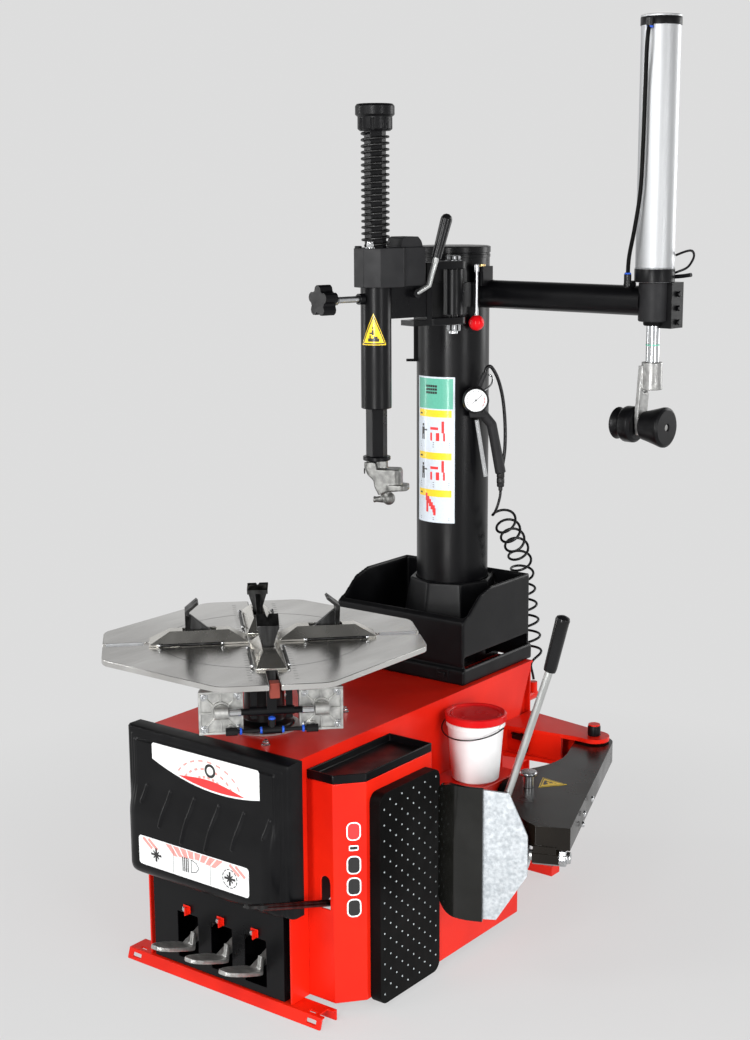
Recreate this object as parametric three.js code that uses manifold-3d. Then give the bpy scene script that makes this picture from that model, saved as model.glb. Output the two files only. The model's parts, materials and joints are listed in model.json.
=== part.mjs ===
// Swing-arm tire changer with a helper press arm, in millimetres, +Z up.
//
// The machine is laid out with its cabinet front on y = 0, the cabinet centre on x = 0, the floor
// on z = 0, +X to the right of a person facing it and +Y to the back. The whole group is shifted
// at the end, so that the middle of the footprint stands on the origin.

import * as THREE from 'three';
import { mergeVertices } from 'three/addons/utils/BufferGeometryUtils.js';
import Module from 'manifold-3d';

const wasm = await Module();
wasm.setup();

// ---------------------------------------------------------------- driving dimensions

const GAP = 0.4;               // air between pieces that rest on or in each other
const RUNNING_GAP = 1.2;       // air round the column inside the collar that turns on it
const SHEET = 4;               // folded steel sheet
const DEG = Math.PI / 180;

const FOOTPRINT_MIDDLE = { x: 171.5, y: 390 };

const CABINET = { half: 204.5, depth: 935, base: 25, deck: 550 };
const REAR_SLOPE = { topY: 930, footY: 812, footZ: 276 };
const RAIL = { left: -264, right: 290, height: 24.6, front: -16, back: 42 };
const SIDE_BOX = { right: 318, front: 56.8, back: 342, top: 505, chamfer: 45 };
const LOW_BOX = { right: 340, back: 660, top: 373 };
const PRY_SLOT = { x: 251, half: 12, z0: 230, z1: 302 };
const COVER = { left: -212, right: 241.5, back: -GAP, front: -52, belly: -70, base: 236, top: 566 };
const KICK = { top: 223, base: 27, thick: 3 };
const PEDAL = { xs: [-86, 12, 108], root: -8, z: 77, reach: 104, half: 27, shaftY: 96, shaftZ: 118 };
const TRAY = { base: SIDE_BOX.top + GAP, top: 524, wall: 4 };
const TIRE_PAD = { x0: 318.4, x1: 345, y0: 120, y1: 334, z0: 14, z1: 478, corner: 22 };

const COLUMN = { x: 20, y: 852, r: 87, wall: 7, base: 554, top: 1542 };
const COLUMN_TRAY = { half: 188, front: 655, back: 951, flange: 587, top: 712, crest: 765 };

const TABLE = { y: 164, top: 743, thick: 12, reach: 338, tipHalf: 106, slot: 24 };
const HUB = { r: 54, base: 562 };
const JAW = { inner: 33, outer: 242, half: 31, high: 28, claw: 145 };
const CLAMP = { offset: 102, z: 650, face: 210, square: 90, barrel: 37, back: -176 };

const HINGE = { x: 118, y: 710, turn: -106.7, barrel: 22, base: 1408, top: 1510 };
const POST = { x: 219, hex: 24.2, base: 1093, top: 1814 };
const SLEEVE = { r: 34, bore: 24.8, base: 1210, top: 1555 };
const HOOD = { base: 1478, top: 1563, rearTop: 1586, half: 46 };
const SPRING = { r: 29, wire: 3, turns: 17, base: 1567.2, top: 1808.4 };
const POST_CAP = { r: 38, lip: 43, base: 1812, top: 1869 };

const HELPER = { turn: -5.3, z: 1448, tube: 32.5, span: 562.4, collar: 101, base: 1420, top: 1476 };
const PRESS = { cylinder: 42, base: 1519, top: 2025, rod: 15 };
const ROLLER = { z: 1179 };
const VALVE = { x: 106.4, y: -42.4, z: 1507 };

const BEAD = { x: 428, y: 850, turn: -67.3, top: 410, base: 362 };
const BEAD_CYLINDER = { y: 500, z: 312, r: 50, x0: -60, x1: 352 };
const BEAD_PIN = { along: 337, across: -102 };
const BLADE_AXIS = { along: 546, z: 342, hex: 20 };
const BLADE = { face: 562, thick: 6, inner: -66, outer: -176, base: 198, top: 482 };

const BUCKET = { x: 282, y: 566, base: 373.4, foot: 54, mouth: 64, height: 148 };

const AIR_INLET = { x: 178, y: 983, z: 445 };
const GUN = { x: 123, y: 796, z: 1204, turn: 37, swivel: -212 };

const PAINT_RED = 0xc8141c;
const PAINT_BLACK = 0x17181a;
const PLASTIC_BLACK = 0x1b1b1d;
const RUBBER_BLACK = 0x151515;
const STEEL = 0xb4b5b3;
const CAST = 0xa7a7a3;
const ZINC = 0xb9bec2;
const ALUMINIUM = 0xd4d6d8;

// ---------------------------------------------------------------- solids

// Turns a closed three.js geometry into a solid for cutting and joining.
function toSolid(geometry) {
  const bare = geometry.clone();
  bare.deleteAttribute('normal');
  bare.deleteAttribute('uv');
  const merged = mergeVertices(bare, 1e-3);
  const triVerts = new Uint32Array(merged.index.array);
  const vertProperties = new Float32Array(merged.attributes.position.array);
  let solid = new wasm.Manifold(new wasm.Mesh({ numProp: 3, vertProperties, triVerts }));
  if (solid.volume() < 0) {
    for (let i = 0; i < triVerts.length; i += 3) {
      [triVerts[i], triVerts[i + 1]] = [triVerts[i + 1], triVerts[i]];
    }
    solid = new wasm.Manifold(new wasm.Mesh({ numProp: 3, vertProperties, triVerts }));
  }
  return solid;
}

function join(...geometries) {
  return geometries.map(toSolid).reduce((sum, solid) => sum.add(solid));
}

// Cuts the later geometries out of the first, which may be a joined solid already.
function cut(body, ...tools) {
  const start = body.isBufferGeometry ? toSolid(body) : body;
  return tools.map(toSolid).reduce((rest, tool) => rest.subtract(tool), start);
}

function toGeometry(solid) {
  const source = solid.isBufferGeometry ? toSolid(solid) : solid;
  const mesh = source.getMesh();
  const geometry = new THREE.BufferGeometry();
  geometry.setAttribute('position', new THREE.BufferAttribute(mesh.vertProperties, 3));
  geometry.setIndex(new THREE.BufferAttribute(mesh.triVerts, 1));
  geometry.computeVertexNormals();
  return geometry;
}

function piece(name, solid, color, roughness, metalness) {
  const material = new THREE.MeshStandardMaterial({ color, roughness, metalness });
  const mesh = new THREE.Mesh(toGeometry(solid), material);
  mesh.name = name;
  return mesh;
}

const redPaint = (name, solid) => piece(name, solid, PAINT_RED, 0.35, 0.1);
const blackPaint = (name, solid) => piece(name, solid, PAINT_BLACK, 0.4, 0.2);
const blackPlastic = (name, solid) => piece(name, solid, PLASTIC_BLACK, 0.55, 0);
const rubber = (name, solid) => piece(name, solid, RUBBER_BLACK, 0.8, 0);
const steel = (name, solid) => piece(name, solid, STEEL, 0.35, 0.9);
const casting = (name, solid) => piece(name, solid, CAST, 0.5, 0.8);

// ---------------------------------------------------------------- shape helpers

function box(x0, x1, y0, y1, z0, z1) {
  const geometry = new THREE.BoxGeometry(x1 - x0, y1 - y0, z1 - z0);
  return geometry.translate((x0 + x1) / 2, (y0 + y1) / 2, (z0 + z1) / 2);
}

function outline(points) {
  return new THREE.Shape(points.map(([a, b]) => new THREE.Vector2(a, b)));
}

// A rectangle with round corners, in its own plane.
function roundedOutline(a0, a1, b0, b1, r) {
  const shape = new THREE.Shape();
  shape.absarc(a1 - r, b1 - r, r, 0, Math.PI / 2);
  shape.absarc(a0 + r, b1 - r, r, Math.PI / 2, Math.PI);
  shape.absarc(a0 + r, b0 + r, r, Math.PI, Math.PI * 1.5);
  shape.absarc(a1 - r, b0 + r, r, Math.PI * 1.5, Math.PI * 2);
  return shape;
}

function extruded(shape, depth, curveSegments = 4) {
  return new THREE.ExtrudeGeometry(shape, { depth, bevelEnabled: false, curveSegments });
}

// Outline in x and y, from z0 up to z1.
function prismZ(shape, z0, z1, segments) {
  return extruded(shape, z1 - z0, segments).translate(0, 0, z0);
}

// Outline in y and z, from x0 to x1.
function prismX(shape, x0, x1, segments) {
  const geometry = extruded(shape, x1 - x0, segments);
  return geometry.rotateX(Math.PI / 2).rotateZ(Math.PI / 2).translate(x0, 0, 0);
}

// Outline in x and z, from y0 to y1.
function prismY(shape, y0, y1, segments) {
  return extruded(shape, y1 - y0, segments).rotateX(Math.PI / 2).translate(0, y1, 0);
}

function coneZ(r0, r1, z0, z1, x = 0, y = 0, sides = 20) {
  const geometry = new THREE.CylinderGeometry(r1, r0, z1 - z0, sides);
  return geometry.rotateX(Math.PI / 2).translate(x, y, (z0 + z1) / 2);
}

function rodZ(r, z0, z1, x = 0, y = 0, sides = 20) {
  return coneZ(r, r, z0, z1, x, y, sides);
}

function rodX(r, x0, x1, y = 0, z = 0, sides = 20) {
  return rodZ(r, x0, x1, 0, 0, sides).rotateY(Math.PI / 2).translate(0, y, z);
}

function rodY(r, y0, y1, x = 0, z = 0, sides = 20) {
  return rodZ(r, -y1, -y0, 0, 0, sides).rotateX(Math.PI / 2).translate(x, 0, z);
}

// A round bar between two points.
function bar(from, to, r, sides = 12, endRadius = r) {
  const start = new THREE.Vector3(...from);
  const end = new THREE.Vector3(...to);
  const length = start.distanceTo(end);
  const turn = new THREE.Quaternion().setFromUnitVectors(
    new THREE.Vector3(0, 0, 1),
    end.clone().sub(start).normalize(),
  );
  const place = new THREE.Matrix4().compose(start, turn, new THREE.Vector3(1, 1, 1));
  return coneZ(r, endRadius, 0, length, 0, 0, sides).applyMatrix4(place);
}

// A profile of [radius, height] pairs turned about the z axis, closed on the axis.
function turned(profile, sides = 24) {
  const points = profile.map(([r, z]) => new THREE.Vector2(r, z));
  return new THREE.LatheGeometry(points, sides).rotateX(Math.PI / 2);
}

function ball(r, x, y, z, sides = 12) {
  return new THREE.SphereGeometry(r, sides, sides / 2).rotateX(Math.PI / 2).translate(x, y, z);
}

// A round tube along a smooth curve through the points.
function hose(points, r, sides, steps) {
  const path = new THREE.CatmullRomCurve3(points.map((p) => new THREE.Vector3(...p)));
  const section = new THREE.Shape();
  section.absarc(0, 0, r, 0, Math.PI * 2);
  return new THREE.ExtrudeGeometry(section, {
    steps,
    curveSegments: sides / 2,
    bevelEnabled: false,
    extrudePath: path,
  });
}

function turnedGroup(x, y, degrees) {
  const group = new THREE.Group();
  group.position.set(x, y, 0);
  group.rotation.z = degrees * DEG;
  return group;
}

// ---------------------------------------------------------------- cabinet

// Folded shell, open at the front and below, its right rear corner cut on a slope over a
// recessed post, with the rear floor rail welded under it.
function cabinet() {
  const { half, depth, base, deck } = CABINET;
  const shell = cut(
    box(-half, half, 0, depth, base, deck),
    box(-half + SHEET, half - SHEET, -1, depth - SHEET, base - 1, deck - SHEET),
    box(half - SHEET - 1, half + 1, 90, 250, base - 1, 400),
    rodX(BEAD_CYLINDER.r + 4, half - SHEET - 1, half + 1, BEAD_CYLINDER.y, BEAD_CYLINDER.z),
    prismX(outline([
      [REAR_SLOPE.topY, deck - SHEET - 1],
      [REAR_SLOPE.footY, REAR_SLOPE.footZ],
      [REAR_SLOPE.footY, base - 1],
      [depth + 1, base - 1],
      [depth + 1, deck - SHEET - 1],
    ]), half - SHEET - 1, half + 1),
    rodZ(13, deck - SHEET - 1, deck + 1, 0, TABLE.y),
  );
  const postLeft = half - 24;
  const post = box(postLeft, postLeft + SHEET, REAR_SLOPE.footY - 40, depth - 1, base, deck - 1);
  const rail = box(-half - 40, half + 66, depth - 4, depth + 34, 0, RAIL.height);
  const railPlate = box(-half, half, depth - 60, depth, RAIL.height - 5, base + SHEET);
  const railHollow = box(-half - 36, half + 62, depth, depth + 30, -1, RAIL.height - SHEET);
  const slots = [-half - 22, half + 48].map((x) => box(x - 9, x + 9, depth + 8, depth + 22, 0, 40));
  const fitting = join(
    rodY(11, depth - 1, AIR_INLET.y + 10, AIR_INLET.x, AIR_INLET.z, 12),
    rodZ(10, AIR_INLET.z, AIR_INLET.z + 34, AIR_INLET.x, AIR_INLET.y, 12),
  );
  const whole = [post, rail, railPlate].reduce((sum, part) => sum.add(toSolid(part)), shell);
  return redPaint('cabinet', cut(whole, railHollow, ...slots).add(fitting));
}

// Tall box beside the cabinet, chamfered at its front corner, with the low box that carries the
// bucket shelf behind it. Both are one folded shell, open towards the cabinet and below.
function sideBox() {
  const { right, front, back, top, chamfer } = SIDE_BOX;
  const left = CABINET.half + GAP;
  const plan = (inset) => outline([
    [left - inset * 1.3, front + inset],
    [right - chamfer, front + inset],
    [right - inset, front + chamfer + 8],
    [right - inset, back - inset],
    [left - inset * 1.3, back - inset],
  ]);
  const low = box(left, LOW_BOX.right, back - 2, LOW_BOX.back, CABINET.base, LOW_BOX.top);
  const lowInside = box(
    left - 5, LOW_BOX.right - SHEET, back + 2, LOW_BOX.back - SHEET,
    CABINET.base - 1, LOW_BOX.top - SHEET,
  );
  const tall = prismZ(plan(0), CABINET.base, top);
  const { x, half, z0, z1 } = PRY_SLOT;
  const slot = join(
    box(x - half, x + half, front - 5, front + 10, z0, z1 - half),
    rodY(half, front - 5, front + 10, x, z1 - half, 16),
  );
  return redPaint('side_box', cut(
    join(tall, low),
    prismZ(plan(SHEET), CABINET.base - 1, top - SHEET),
    lowInside,
    rodX(BEAD_CYLINDER.r + 2, LOW_BOX.right - 10, LOW_BOX.right + 1, BEAD_CYLINDER.y, BEAD_CYLINDER.z),
  ).subtract(slot));
}

// Folded hat channel under the front of the cabinet, slotted for floor bolts near its ends.
function frontRail() {
  const { left, right, height, front, back } = RAIL;
  const body = cut(
    prismX(outline([[front, 0], [front + 8, height], [back, height], [back, 0]]), left, right),
    prismX(outline([
      [front + SHEET + 1, -1], [front + 8 + SHEET, height - SHEET],
      [back - SHEET, height - SHEET], [back - SHEET, -1],
    ]), left - 1, right + 1),
  );
  const topSlots = [left + 34, right - 34].map((x) => box(x - 9, x + 9, 2, 9, 10, 30));
  const frontSlots = [left + 26, right - 26].map((x) => box(x - 13, x + 13, front - 2, 0, 7, 17));
  const notch = box(right - 16, right + 1, 2, back - SHEET - 8, 10, 30);
  return redPaint('front_rail', cut(body, ...topSlots, ...frontSlots, notch));
}

// Moulded front cover with a bellied lower half and six slanted finger ribs.
function frontCover() {
  const { left, right, back, front, belly, base, top } = COVER;
  const side = outline([
    [back, base + 18],
    [front + 12, base],
    [belly + 8, base + 30],
    [belly, base + 130],
    [front, base + 205],
    [front, top - 30],
    [front + 14, top - 4],
    [back, top],
  ]);
  const inside = outline([
    [back + 1, base + 26],
    [front + 16, base + 8],
    [belly + 16, base + 36],
    [belly + 8, base + 128],
    [front + 6, base + 200],
    [front + 6, top - 34],
    [front + 18, top - 10],
    [back + 1, top - 6],
  ]);
  const shell = cut(prismX(side, left, right), prismX(inside, left + 5, right - 5));
  const ribs = [0, 1, 2, 3, 4, 5].map((i) => {
    const x = left + 62 + i * 58;
    return prismX(outline([
      [belly + 3, base + 108],
      [belly - 7, base + 118],
      [front - 6, base + 200],
      [front + 3, base + 208],
    ]), x, x + 30);
  });
  const whole = ribs.reduce((sum, rib) => sum.add(toSolid(rib)), shell);
  return blackPlastic('front_cover', whole);
}

// Black plate behind the pedals, slotted for the three pedal arms.
function kickPlate() {
  const half = CABINET.half - SHEET - 14;
  const plate = box(-half, half, -KICK.thick - GAP, -GAP, KICK.base, KICK.top);
  const slots = PEDAL.xs.map((x) => box(x - 30, x + 30, -10, 5, 44, 150));
  return blackPaint('kick_plate', cut(plate, ...slots));
}

// Shallow tray on top of the side box, with the same chamfered plan.
function sideTray() {
  const { base, top, wall } = TRAY;
  const { right, front, back, chamfer } = SIDE_BOX;
  const left = CABINET.half + GAP;
  const plan = (inset) => outline([
    [left + inset, front + inset],
    [right - chamfer, front + inset],
    [right - inset, front + chamfer + 8],
    [right - inset, back - inset],
    [left + inset, back - inset],
  ]);
  return blackPlastic('side_tray', cut(
    prismZ(plan(0), base, top),
    prismZ(plan(wall), base + 2.5, top + 1),
  ));
}

// Rubber pad that the tire leans on while its bead is broken.
function tirePad() {
  const { x0, x1, y0, y1, z0, z1, corner } = TIRE_PAD;
  return rubber('tire_pad', prismX(roundedOutline(y0, y1, z0, z1, corner), x0, x1, 4));
}

// Moulded tray around the foot of the column: one open basin between high side walls, with an
// eight-sided collar that rises from its floor round the column.
function columnTray() {
  const { half, front, back, flange, top, crest } = COLUMN_TRAY;
  const deck = CABINET.deck + GAP;
  const floor = flange + 38;
  const side = outline([
    [front + 6, flange - 1],
    [front, flange + 10],
    [front, top - 12],
    [front + 14, top - 2],
    [front + 26, top + 2],
    [front + 72, top + 40],
    [front + 118, crest],
    [back - 4, crest],
    [back - 4, flange - 1],
  ]);
  const body = join(
    box(-half - 4, half + 4, front - 6, back, deck, flange),
    prismX(side, -half + 2, half - 2),
  );
  const basin = box(-half + 10, half - 10, front + 14, back - 14, floor, crest + 10);
  const under = box(-half + 4, half - 4, front + 6, back - 10, deck - 1, floor - 8);
  const collar = toSolid(coneZ(128, 104, floor - 4, crest - 8, COLUMN.x, COLUMN.y, 8));
  const inside = toSolid(box(-half + 6, half - 6, front + 8, back - 8, deck, crest));
  const column = rodZ(COLUMN.r + 1, deck - 1, crest + 10, COLUMN.x, COLUMN.y, 32);
  const shell = cut(body, basin, under).add(collar.intersect(inside));
  return blackPlastic('column_tray', shell.subtract(toSolid(column)));
}

// ---------------------------------------------------------------- column

// Round column on its base plate, with the swing arm's hinge barrel welded to it on two lugs.
// The helper arm's collar turns on the column between the lugs.
function column() {
  const { x, y, r, wall, base, top } = COLUMN;
  const plate = box(x - 84, x + 84, y - 80, y + 82, base - 3, base + 8);
  const tube = rodZ(r, base, top, x, y, 32);
  const reach = Math.hypot(HINGE.x - x, HINGE.y - y);
  const toHinge = Math.atan2(HINGE.y - y, HINGE.x - x);
  const lug = (start, half, z0, z1) => box(start, reach - HINGE.barrel + 6, -half, half, z0, z1)
    .rotateZ(toHinge).translate(x, y, 0);
  const barrel = rodZ(HINGE.barrel, HINGE.base, HINGE.top, HINGE.x, HINGE.y);
  const solid = join(
    plate, tube, barrel,
    lug(r - 6, 15, HINGE.base, HELPER.base - 1),
    lug(r - 6, 15, HELPER.top + 1, HINGE.top - 4),
    lug(HELPER.collar + 6, 6, HELPER.base - 4, HELPER.top + 4),
  );
  return blackPaint('column', cut(
    solid,
    rodZ(r - wall, base + 12, top + 1, x, y, 32),
    rodZ(11, HINGE.base - 1, HINGE.top + 1, HINGE.x, HINGE.y),
  ));
}

// Shallow cap that closes the column, with a thin rim standing over its edge.
function columnCap() {
  const { x, y, r, wall, top } = COLUMN;
  const cap = turned([
    [0, top - 12], [r - wall - GAP, top - 12], [r - wall - GAP, top + GAP],
    [r + 2, top + GAP], [r + 2, top + 14], [r - 4, top + 16], [0, top + 16],
  ], 32);
  return blackPaint('column_cap', cap.translate(x, y, 0));
}

// ---------------------------------------------------------------- drive inside the cabinet

// Worm gearbox under the turntable, its output shaft standing up through the deck.
function gearbox() {
  const deck = CABINET.deck - SHEET;
  const house = box(-85, 85, TABLE.y - 85, TABLE.y + 85, 390, 500);
  const neck = rodZ(58, 490, deck - 2, 0, TABLE.y);
  const shaft = rodZ(11, 520, deck + 14, 0, TABLE.y, 16);
  const worm = rodX(24, -140, 100, TABLE.y + 52, 445, 16);
  const pulley = rodX(62, -140, -122, TABLE.y + 52, 445);
  return casting('gearbox', join(house, neck, shaft, worm, pulley));
}

// Electric motor on a foot plate, its pulley in line with the gearbox pulley.
function motor() {
  const y = TABLE.y + 52;
  const z = 210;
  return piece('motor', join(
    rodX(70, -100, 110, y, z),
    rodX(12, -142, -90, y, z, 12),
    rodX(34, -140, -122, y, z),
    box(-60, 60, y - 80, y + 80, z - 84, z - 64),
    box(-40, 40, y + 40, y + 88, z - 30, z + 40),
  ), 0x4a5054, 0.5, 0.6);
}

// Cylinder that works the bead breaker. Its round head stands proud of the low box.
function beadCylinder() {
  const { y, z, r, x0, x1 } = BEAD_CYLINDER;
  const body = join(
    rodX(r, x0, x1, y, z),
    rodX(r + 1.5, LOW_BOX.right + GAP, x1, y, z),
    rodX(r + 8, x0 - 10, x0 + 26, y, z),
    box(x0 - 44, x0, y - 12, y + 12, z - 20, z + 20),
  );
  const bore = rodX(13.5, x0 + 20, x1 + 1, y, z, 16);
  return blackPaint('bead_cylinder', cut(body, bore));
}

// ---------------------------------------------------------------- turntable

// Square plate with cut corners and four slots that run out through the corners.
function turntablePlate() {
  const { reach, tipHalf, top, thick, slot } = TABLE;
  const tip = new THREE.Shape();
  const round = 14;
  const angle = Math.atan2(tipHalf, reach);
  for (let k = 0; k < 4; k += 1) {
    for (const side of [-1, 1]) {
      const middle = k * Math.PI / 2 + side * angle;
      const corner = Math.hypot(reach, tipHalf);
      for (const step of [-1, 0, 1]) {
        const turn = middle + step * round / corner;
        const radius = corner - Math.abs(step) * 1.6;
        const x = radius * Math.cos(turn);
        const y = radius * Math.sin(turn);
        if (k === 0 && side === -1 && step === -1) tip.moveTo(x, y);
        else tip.lineTo(x, y);
      }
    }
  }
  const slots = [0, 1, 2, 3].map((k) => box(64, reach + 20, -slot / 2, slot / 2, top - 30, top + 5)
    .rotateZ(k * Math.PI / 2));
  return steel('turntable_plate', cut(prismZ(tip, top - thick, top), ...slots));
}

// Hub between the gearbox shaft and the plate, with the ring that covers the deck hole.
function tableHub() {
  const under = TABLE.top - TABLE.thick - GAP;
  const hub = turned([
    [0, HUB.base - 8], [HUB.r + 8, HUB.base - 8], [HUB.r + 8, HUB.base],
    [HUB.r - 8, HUB.base + 8], [HUB.r - 14, under - 34],
    [HUB.r + 4, under - 10], [HUB.r + 4, under], [0, under],
  ]);
  const socket = rodZ(11 + GAP, HUB.base - 9, HUB.base + 22, 0, 0, 16);
  return blackPaint('table_hub', cut(hub, socket));
}

// Pressed cover over one jaw slide, with sloped ends and a window for the claw.
function jawCover(name) {
  const { inner, outer, half, high, claw } = JAW;
  const base = TABLE.top + GAP;
  const top = base + high;
  const long = (inset, foot) => prismY(outline([
    [inner + inset, foot], [outer - inset, foot], [outer - inset, base + 4 - inset],
    [outer - 44 - inset, top - inset], [inner + 40 + inset, top - inset],
    [inner + inset, base + 4 - inset],
  ]), -half, half);
  const across = (inset, foot) => prismX(outline([
    [-half + inset, foot], [half - inset, foot], [half - inset, base + 4 - inset],
    [14 - inset, top - inset], [-14 + inset, top - inset], [-half + inset, base + 4 - inset],
  ]), inner - 5, outer + 5);
  const skin = toSolid(long(0, base)).intersect(toSolid(across(0, base)));
  const hollow = toSolid(long(2.4, base - 1)).intersect(toSolid(across(2.4, base - 1)));
  const window = box(claw - 46, claw + 26, -12.5, 12.5, base + 8, top + 2);
  return steel(name, cut(skin.subtract(hollow), window));
}

// Claw on its slide block, which runs in the slot: a stem that widens towards its top, a thin
// notched tip that leans inwards, and a sloped brace behind the stem.
function jawClaw(name) {
  const base = TABLE.top + GAP;
  const r = JAW.claw;
  const stem = prismX(outline([
    [-11, base + 12], [11, base + 12], [11, base + 31], [23, base + 70], [-23, base + 70],
    [-11, base + 31],
  ]), r + 11, r + 20);
  const tip = prismY(outline([
    [r + 11, base + 60], [r + 20, base + 64], [r + 20, base + 71], [r - 5, base + 91],
    [r - 9, base + 87], [r + 11, base + 70],
  ]), -23, 23);
  const brace = prismY(outline([
    [r - 44, base + 10], [r + 14, base + 10], [r + 14, base + 62], [r + 8, base + 60],
    [r - 44, base + 17],
  ]), -5, 5);
  const notch = prismX(outline([[-6, base + 95], [6, base + 95], [0, base + 84]]), r - 20, r + 30);
  const foot = box(r - 60, r + 46, -13, 13, base + 1, base + 14);
  const slider = box(r - 50, r + 60, -TABLE.slot / 2 + 1, TABLE.slot / 2 - 1, TABLE.top - 34, base + 2);
  return piece(name, cut(join(stem, tip, brace, foot, slider), notch), 0x3a3a3b, 0.4, 0.7);
}

// One clamping cylinder under the table, with its square cast end cover.
function clampCylinder(name, side) {
  const { offset, z, face, square, barrel, back } = CLAMP;
  const y = side * offset;
  const half = square / 2;
  const cover = (x0, x1) => prismX(
    roundedOutline(y - half, y + half, z - half, z + half, 8), x0, x1, 2,
  );
  const boss = rodX(15, face - 2, face + 10, y, z + 4, 16);
  const eye = rodY(13, y - 14, y + 14, face + 16, z + 4, 16);
  return piece(name, join(
    rodX(barrel, back, face - 10, y, z),
    cover(face - 22, face),
    cover(back - 12, back + 8),
    boss,
    eye,
  ), 0xb9bab8, 0.45, 0.75);
}

// Bar that ties the two clamping cylinders to the front jaw.
function cylinderTieBar() {
  const { offset, z, face } = CLAMP;
  const x = face + 16;
  const reach = offset - 16;
  return blackPaint('cylinder_tie_bar', join(
    rodY(7, -reach, reach, x, z + 4, 12),
    box(x - 6, x + 6, -10, 10, z + 4, TABLE.top - 34 - GAP),
    box(x - 32, x + 6, -10, 10, TABLE.top - 48, TABLE.top - 34 - GAP),
  ));
}

function turntable() {
  const group = turnedGroup(0, TABLE.y, -45);
  group.add(turntablePlate(), tableHub());
  ['front', 'right', 'rear', 'left'].forEach((place, k) => {
    const jaw = new THREE.Group();
    jaw.rotation.z = k * Math.PI / 2;
    jaw.add(jawCover(`jaw_cover_${place}`), jawClaw(`jaw_claw_${place}`));
    group.add(jaw);
  });
  group.add(
    clampCylinder('clamp_cylinder_left', -1),
    clampCylinder('clamp_cylinder_right', 1),
    cylinderTieBar(),
  );
  return group;
}

// ---------------------------------------------------------------- swing arm and tool post

// Forked arm on its hinge bolt. The group's x axis runs from the bolt to the tool post.
function swingArm() {
  const plate = (z0, z1) => prismZ(roundedOutline(-26, 92, -24, 24, 20), z0, z1, 3);
  const web = box(80, 95, -24, 24, HINGE.base - 20, HINGE.top + 18);
  const toe = box(80, 132, -24, 24, HINGE.base - 20, HINGE.base - 8);
  const arm = box(90, POST.x - SLEEVE.r + 8, -22, 22, HINGE.base, HOOD.base - GAP);
  const bolt = rodZ(10.4, HINGE.base - 32, HINGE.top + 26, 0, 0, 16);
  const head = rodZ(16, HINGE.top + 18, HINGE.top + 30, 0, 0, 6);
  const nut = rodZ(17, HINGE.base - 36, HINGE.base - 20, 0, 0, 6);
  const round = rodZ(SLEEVE.r + GAP, HINGE.base - 50, HINGE.top + 50, POST.x, 0, 32);
  return blackPaint('swing_arm', cut(
    join(
      plate(HINGE.top + 2, HINGE.top + 18), plate(HINGE.base - 20, HINGE.base - 6),
      web, toe, arm, bolt, head, nut,
    ),
    round,
  ));
}

function hexagonZ(r, z0, z1, x) {
  return rodZ(r, z0, z1, x, 0, 6);
}

function postSleeve() {
  const { r, bore, base, top } = SLEEVE;
  return blackPaint('post_sleeve', cut(
    rodZ(r, base, top, POST.x, 0, 32),
    hexagonZ(bore, base - 1, top + 1, POST.x),
    rodX(7, POST.x + 20, POST.x + 40, 0, 1453, 12),
  ));
}

// Faceted hood over the post lock, open below, with a taller block towards the hinge.
function lockCover() {
  const { base, top, rearTop, half } = HOOD;
  const x = POST.x;
  const plan = (inset) => outline([
    [x + half - inset, -18 + inset / 2],
    [x + half - inset, 18 - inset / 2],
    [x + 20, half - inset],
    [x - 42, half - inset],
    [x - 60, 30 - inset],
    [x - 116 + inset, 30 - inset],
    [x - 116 + inset, -30 + inset],
    [x - 60, -30 + inset],
    [x - 42, -half + inset],
    [x + 20, -half + inset],
  ]);
  const rear = prismY(outline([
    [x - 112, top - 2], [x - 48, top - 2], [x - 54, rearTop - 4], [x - 62, rearTop],
    [x - 98, rearTop], [x - 107, rearTop - 10],
  ]), -27, 27);
  return blackPlastic('lock_cover', cut(
    join(prismZ(plan(0), base, top), rear),
    prismZ(plan(4), base - 1, top - 4),
    hexagonZ(POST.hex + 3, base, top + 1, x),
    box(x - 104, x - 60, -22, 22, top - 10, rearTop - 5),
  ));
}

// Hexagonal bar that carries the mount head, with its ring flange.
function postBar() {
  const { x, hex, base, top } = POST;
  return blackPaint('post_bar', join(
    hexagonZ(hex, base, top + 4, x),
    rodZ(31, base, base + 9, x, 0),
  ));
}

// Fluted cap that holds the top end of the return spring.
function postCap() {
  const { r, lip, base, top } = POST_CAP;
  const cap = turned([
    [0, base], [r - 5, base], [r, base + 4], [r, base + 30], [lip, base + 34],
    [lip, top - 5], [lip - 4, top], [0, top],
  ], 24);
  const flutes = [...Array(8).keys()].map((k) => {
    const turn = k * Math.PI / 4;
    return rodZ(5, base - 1, base + 26, (r + 1) * Math.cos(turn), (r + 1) * Math.sin(turn), 8);
  });
  const socket = hexagonZ(POST.hex + GAP, base - 1, POST.top + 4 + GAP, 0);
  const mesh = blackPlastic('post_cap', cut(cap, socket, ...flutes));
  mesh.position.x = POST.x;
  return mesh;
}

class Helix extends THREE.Curve {
  constructor(radius, z0, z1, turns) {
    super();
    Object.assign(this, { radius, z0, z1, turns });
  }

  getPoint(t, target = new THREE.Vector3()) {
    const angle = t * this.turns * Math.PI * 2;
    const z = this.z0 + (this.z1 - this.z0) * t;
    return target.set(this.radius * Math.cos(angle), this.radius * Math.sin(angle), z);
  }
}

// Return spring around the bar, between the hood and the cap.
function postSpring() {
  const { r, wire, turns, base, top } = SPRING;
  const section = new THREE.Shape();
  section.absarc(0, 0, wire, 0, Math.PI * 2);
  const coil = new THREE.ExtrudeGeometry(section, {
    steps: turns * 12,
    curveSegments: 3,
    bevelEnabled: false,
    extrudePath: new Helix(r, base, top, turns),
  });
  const mesh = piece('post_spring', coil, 0x26272a, 0.35, 0.8);
  mesh.position.x = POST.x;
  return mesh;
}

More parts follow.
